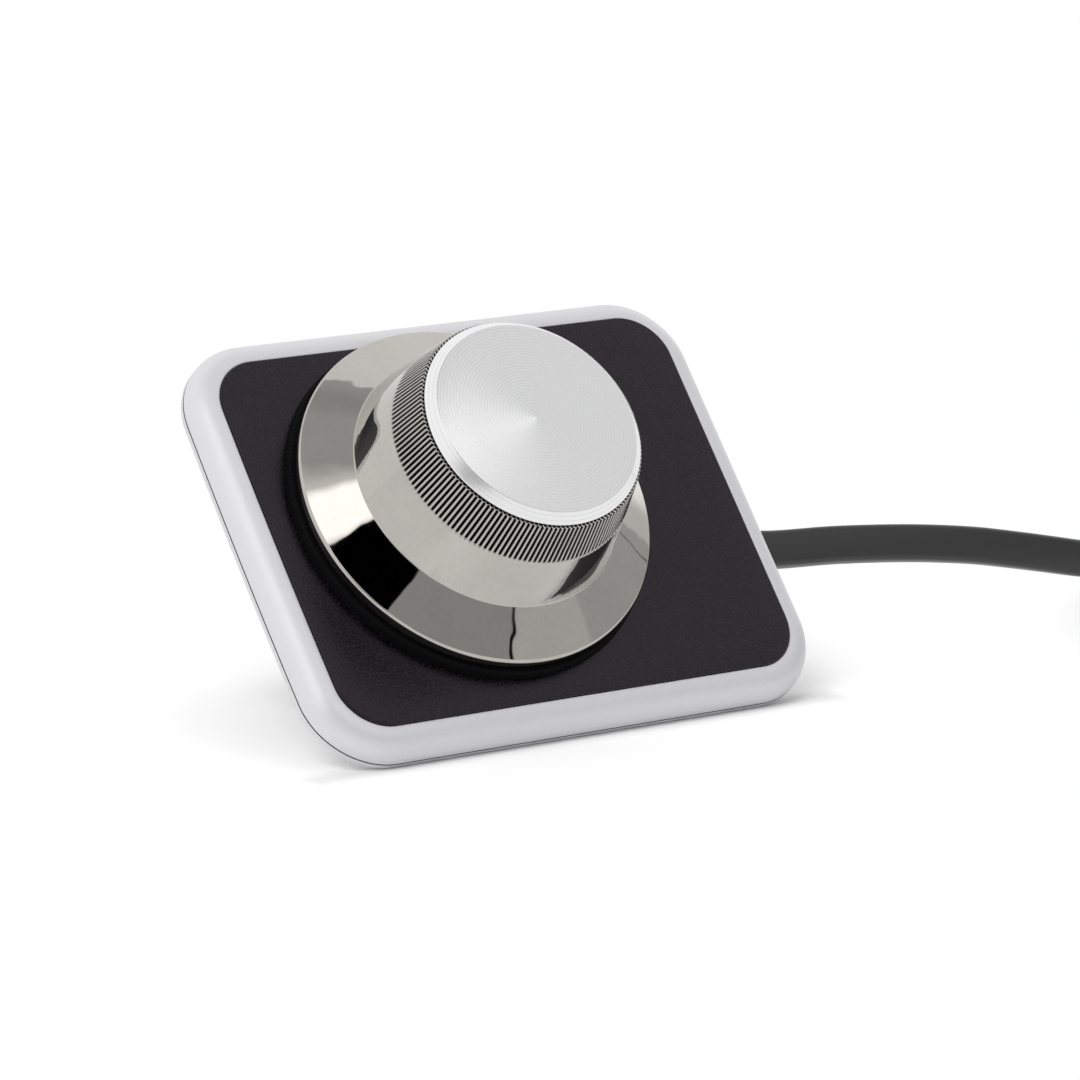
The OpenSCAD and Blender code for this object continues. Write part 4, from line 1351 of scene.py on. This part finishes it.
@dataclass
class Studio:
    """Camera, pale floor, soft lamps and the light tent."""

    eye: Place = (-0.357655, -0.551431, 0.16699)
    right: Place = (0.834803, -0.550549, -0.000099)
    up: Place = (0.119698, 0.181323, 0.976112)
    lens_mm: float = 186.008
    sensor_mm: float = 36.0
    foot_x: float = 0.0357
    foot_y: Point = (-0.0178, 0.0255)
    spots: Tuple[Place, ...] = ((0.120, -0.0304, 0.041), (0.171, 0.0075, 0.007))
    tent: float = 1.05
    fill: float = 0.59
    fill_low: float = 0.68
    fill_rise: float = 0.42
    glow: float = 0.2
    contact: float = 0.004
    shadow: Point = (0.0005, 0.02)
    spot_soft: Point = (0.004, 0.006)
    floor_reach: float = 4.0
    floor_tone: Colour = (0.97, 0.97, 0.97)
    clip: Point = (0.01, 20.0)
    aim: Place = (0.0, 0.0, 0.02)
    lamps: Tuple[Tuple[str, Place, float, float], ...] = (
        ("key_top", (0.1, 0.1, 1.3), 0.8, 1.4), ("key_left", (-1.0, -0.5, 1.05), 0.8, 10.5),
    )
    cards: Tuple[Card, ...] = (
        Card(62, 46, 36, 32, 0.78, 12.0),
        Card(36, 60, 8, 7, 1.35, 9.0),
        Card(116, 20, 12, 16, 1.42, 6.0),
        Card(96, 4, 8, 26, 0.80, 8.0),
        Card(50, 0, 44, 26, 0.55, 1.5),
        Card(36, 4, 15.5, 20, 0.68, 3.0),
        Card(-2, 12, 21.5, 20, 0.43, 1.0),
        Card(20, 8, 0.6, 9, 0.0, 0.5),
        Card(89.2, 10, 0.35, 5, 0.25, 0.5),
        Card(140, 50, 20, 14, 1.08, 8.0),
        Card(-84, 75, 9, 9, 0.60, 8.0),
        Card(0, 90, 20, 22, 0.54, 1.0),
        Card(160, 76, 9, 5, 0.45, 7.0),
        Card(-46, 9, 16, 12, 0.45, 12.0),
        Card(-47.7, 55.6, 8, 9.0, 2.2, 4.5, 40),
        Card(-28, 37.5, 14, 14, 0.0, 1.0, 40),
    )

    def camera(self) -> None:
        """Sets the camera as the photograph's."""
        data = bpy.data.cameras.new("camera")
        data.lens, data.sensor_width, data.sensor_fit = self.lens_mm, self.sensor_mm, "HORIZONTAL"
        data.clip_start, data.clip_end = self.clip
        made = bpy.data.objects.new("camera", data)
        right, up = Vector(self.right).normalized(), Vector(self.up).normalized()
        turn = Matrix((right, up, right.cross(up))).transposed().to_4x4()
        made.matrix_world = Matrix.Translation(self.eye) @ turn
        bpy.context.scene.collection.objects.link(made)
        bpy.context.scene.camera = made

    def sky(self) -> None:
        """Light tent: plain light on the object, white to the camera, cards in the metal."""
        world = bpy.data.worlds.new("light_tent")
        bpy.context.scene.world = world
        world.use_nodes = True
        book = NodeBook(world.node_tree)
        sight = book.sock("ShaderNodeTexCoord", out="Generated")
        light: Value = self.tent
        for card in self.cards:
            share = card.mask(book, sight)
            light = share * card.light + (1 - share) * light
        glossy = book.ray("Glossy")
        seen = book.ray("Camera").most(book.ray("Transmission"))
        height = book.along(sight, (0.0, 0.0, 1.0)).most(0.0)
        plain = self.fill * (self.fill_low + self.fill_rise * height)
        strength = seen + (1 - seen) * (glossy * light + (1 - glossy) * plain)
        back = book.sock("ShaderNodeBackground", {}, {"Color": strength, "Strength": 1.0})
        book.node("ShaderNodeOutputWorld", {}, {"Surface": back})

    def floor(self) -> None:
        """Pale floor that keeps the shadow and meets the white behind it."""
        mesh = bpy.data.meshes.new("floor")
        reach = self.floor_reach
        corners = [(-reach, -reach, 0), (reach, -reach, 0), (reach, reach, 0), (-reach, reach, 0)]
        mesh.from_pydata(corners, [], [(0, 1, 2, 3)])
        made = bpy.data.objects.new("floor", mesh)
        bpy.context.scene.collection.objects.link(made)
        material = bpy.data.materials.new("pale_floor")
        material.use_nodes = True
        book = NodeBook(material.node_tree)
        glossy = book.ray("Glossy")
        seen = book.ray("Camera").most(glossy).most(book.ray("Transmission"))
        near = book.sock("ShaderNodeBsdfDiffuse", {}, {"Color": self.floor_tone})
        glow = book.sock("ShaderNodeEmission", {}, {"Color": (1.0, 1.0, 1.0), "Strength": self.glow})
        both = book.sock("ShaderNodeAddShader", {}, {0: near, 1: glow})
        white = book.sock("ShaderNodeEmission", {}, {"Color": (1.0, 1.0, 1.0), "Strength": 1.0})
        place = book.place()
        x, y = book.along(place, (1.0, 0.0, 0.0)), book.along(place, (0.0, 1.0, 0.0))
        front, rear = self.foot_y
        across = (x.size() - self.foot_x).most(0.0)
        along = (front - y).most(y - rear).most(0.0)
        lifted = (y - front).size().ease(0.0, self.contact).most(across.ease(0.0, self.contact))
        away = ((across * across + along * along) ** 0.5).ease(*self.shadow)
        inside, outside = self.spot_soft
        for at_x, at_y, radius in self.spots:
            off = ((x - at_x) ** 2 + (y - at_y) ** 2) ** 0.5
            away = away.least(off.ease(radius - inside, radius + outside).most(glossy))
        shown = book.mix(away, book.mix(lifted, near, both), white)
        book.node("ShaderNodeOutputMaterial", {}, {"Surface": book.mix(seen, near, shown)})
        mesh.materials.append(material)

    def lamp(self, name: str, place: Place, size: float, power: float) -> None:
        """Adds a soft lamp that faces the object.

        Args:
            name: the lamp's name.
            place: its place in metres.
            size: its side in metres.
            power: its power in watts.
        """
        data = bpy.data.lights.new(name, "AREA")
        data.shape, data.size, data.energy = "SQUARE", size, power
        made = bpy.data.objects.new(name, data)
        made.location = place
        made.rotation_euler = (Vector(self.aim) - Vector(place)).to_track_quat("-Z", "Y").to_euler()
        made.visible_glossy = False
        made.visible_camera = False
        bpy.context.scene.collection.objects.link(made)

    def build(self) -> None:
        """Sets the camera, the floor, the tent and the lamps."""
        self.camera()
        self.sky()
        self.floor()
        for lamp in self.lamps:
            self.lamp(*lamp)
        bpy.context.scene.view_settings.view_transform = "Standard"
        LOG.info("studio: camera, floor, tent and lamps")


def main() -> None:
    """Builds the studio and the pieces in order."""
    logging.basicConfig(level=logging.INFO, format="%(name)s: %(message)s")
    Studio().build()
    FlatCord().build()
    FacePlate().build()
    Knob().build()
    RearBox().dress()
    Potentiometer().dress()


if __name__ == "__main__":
    main()
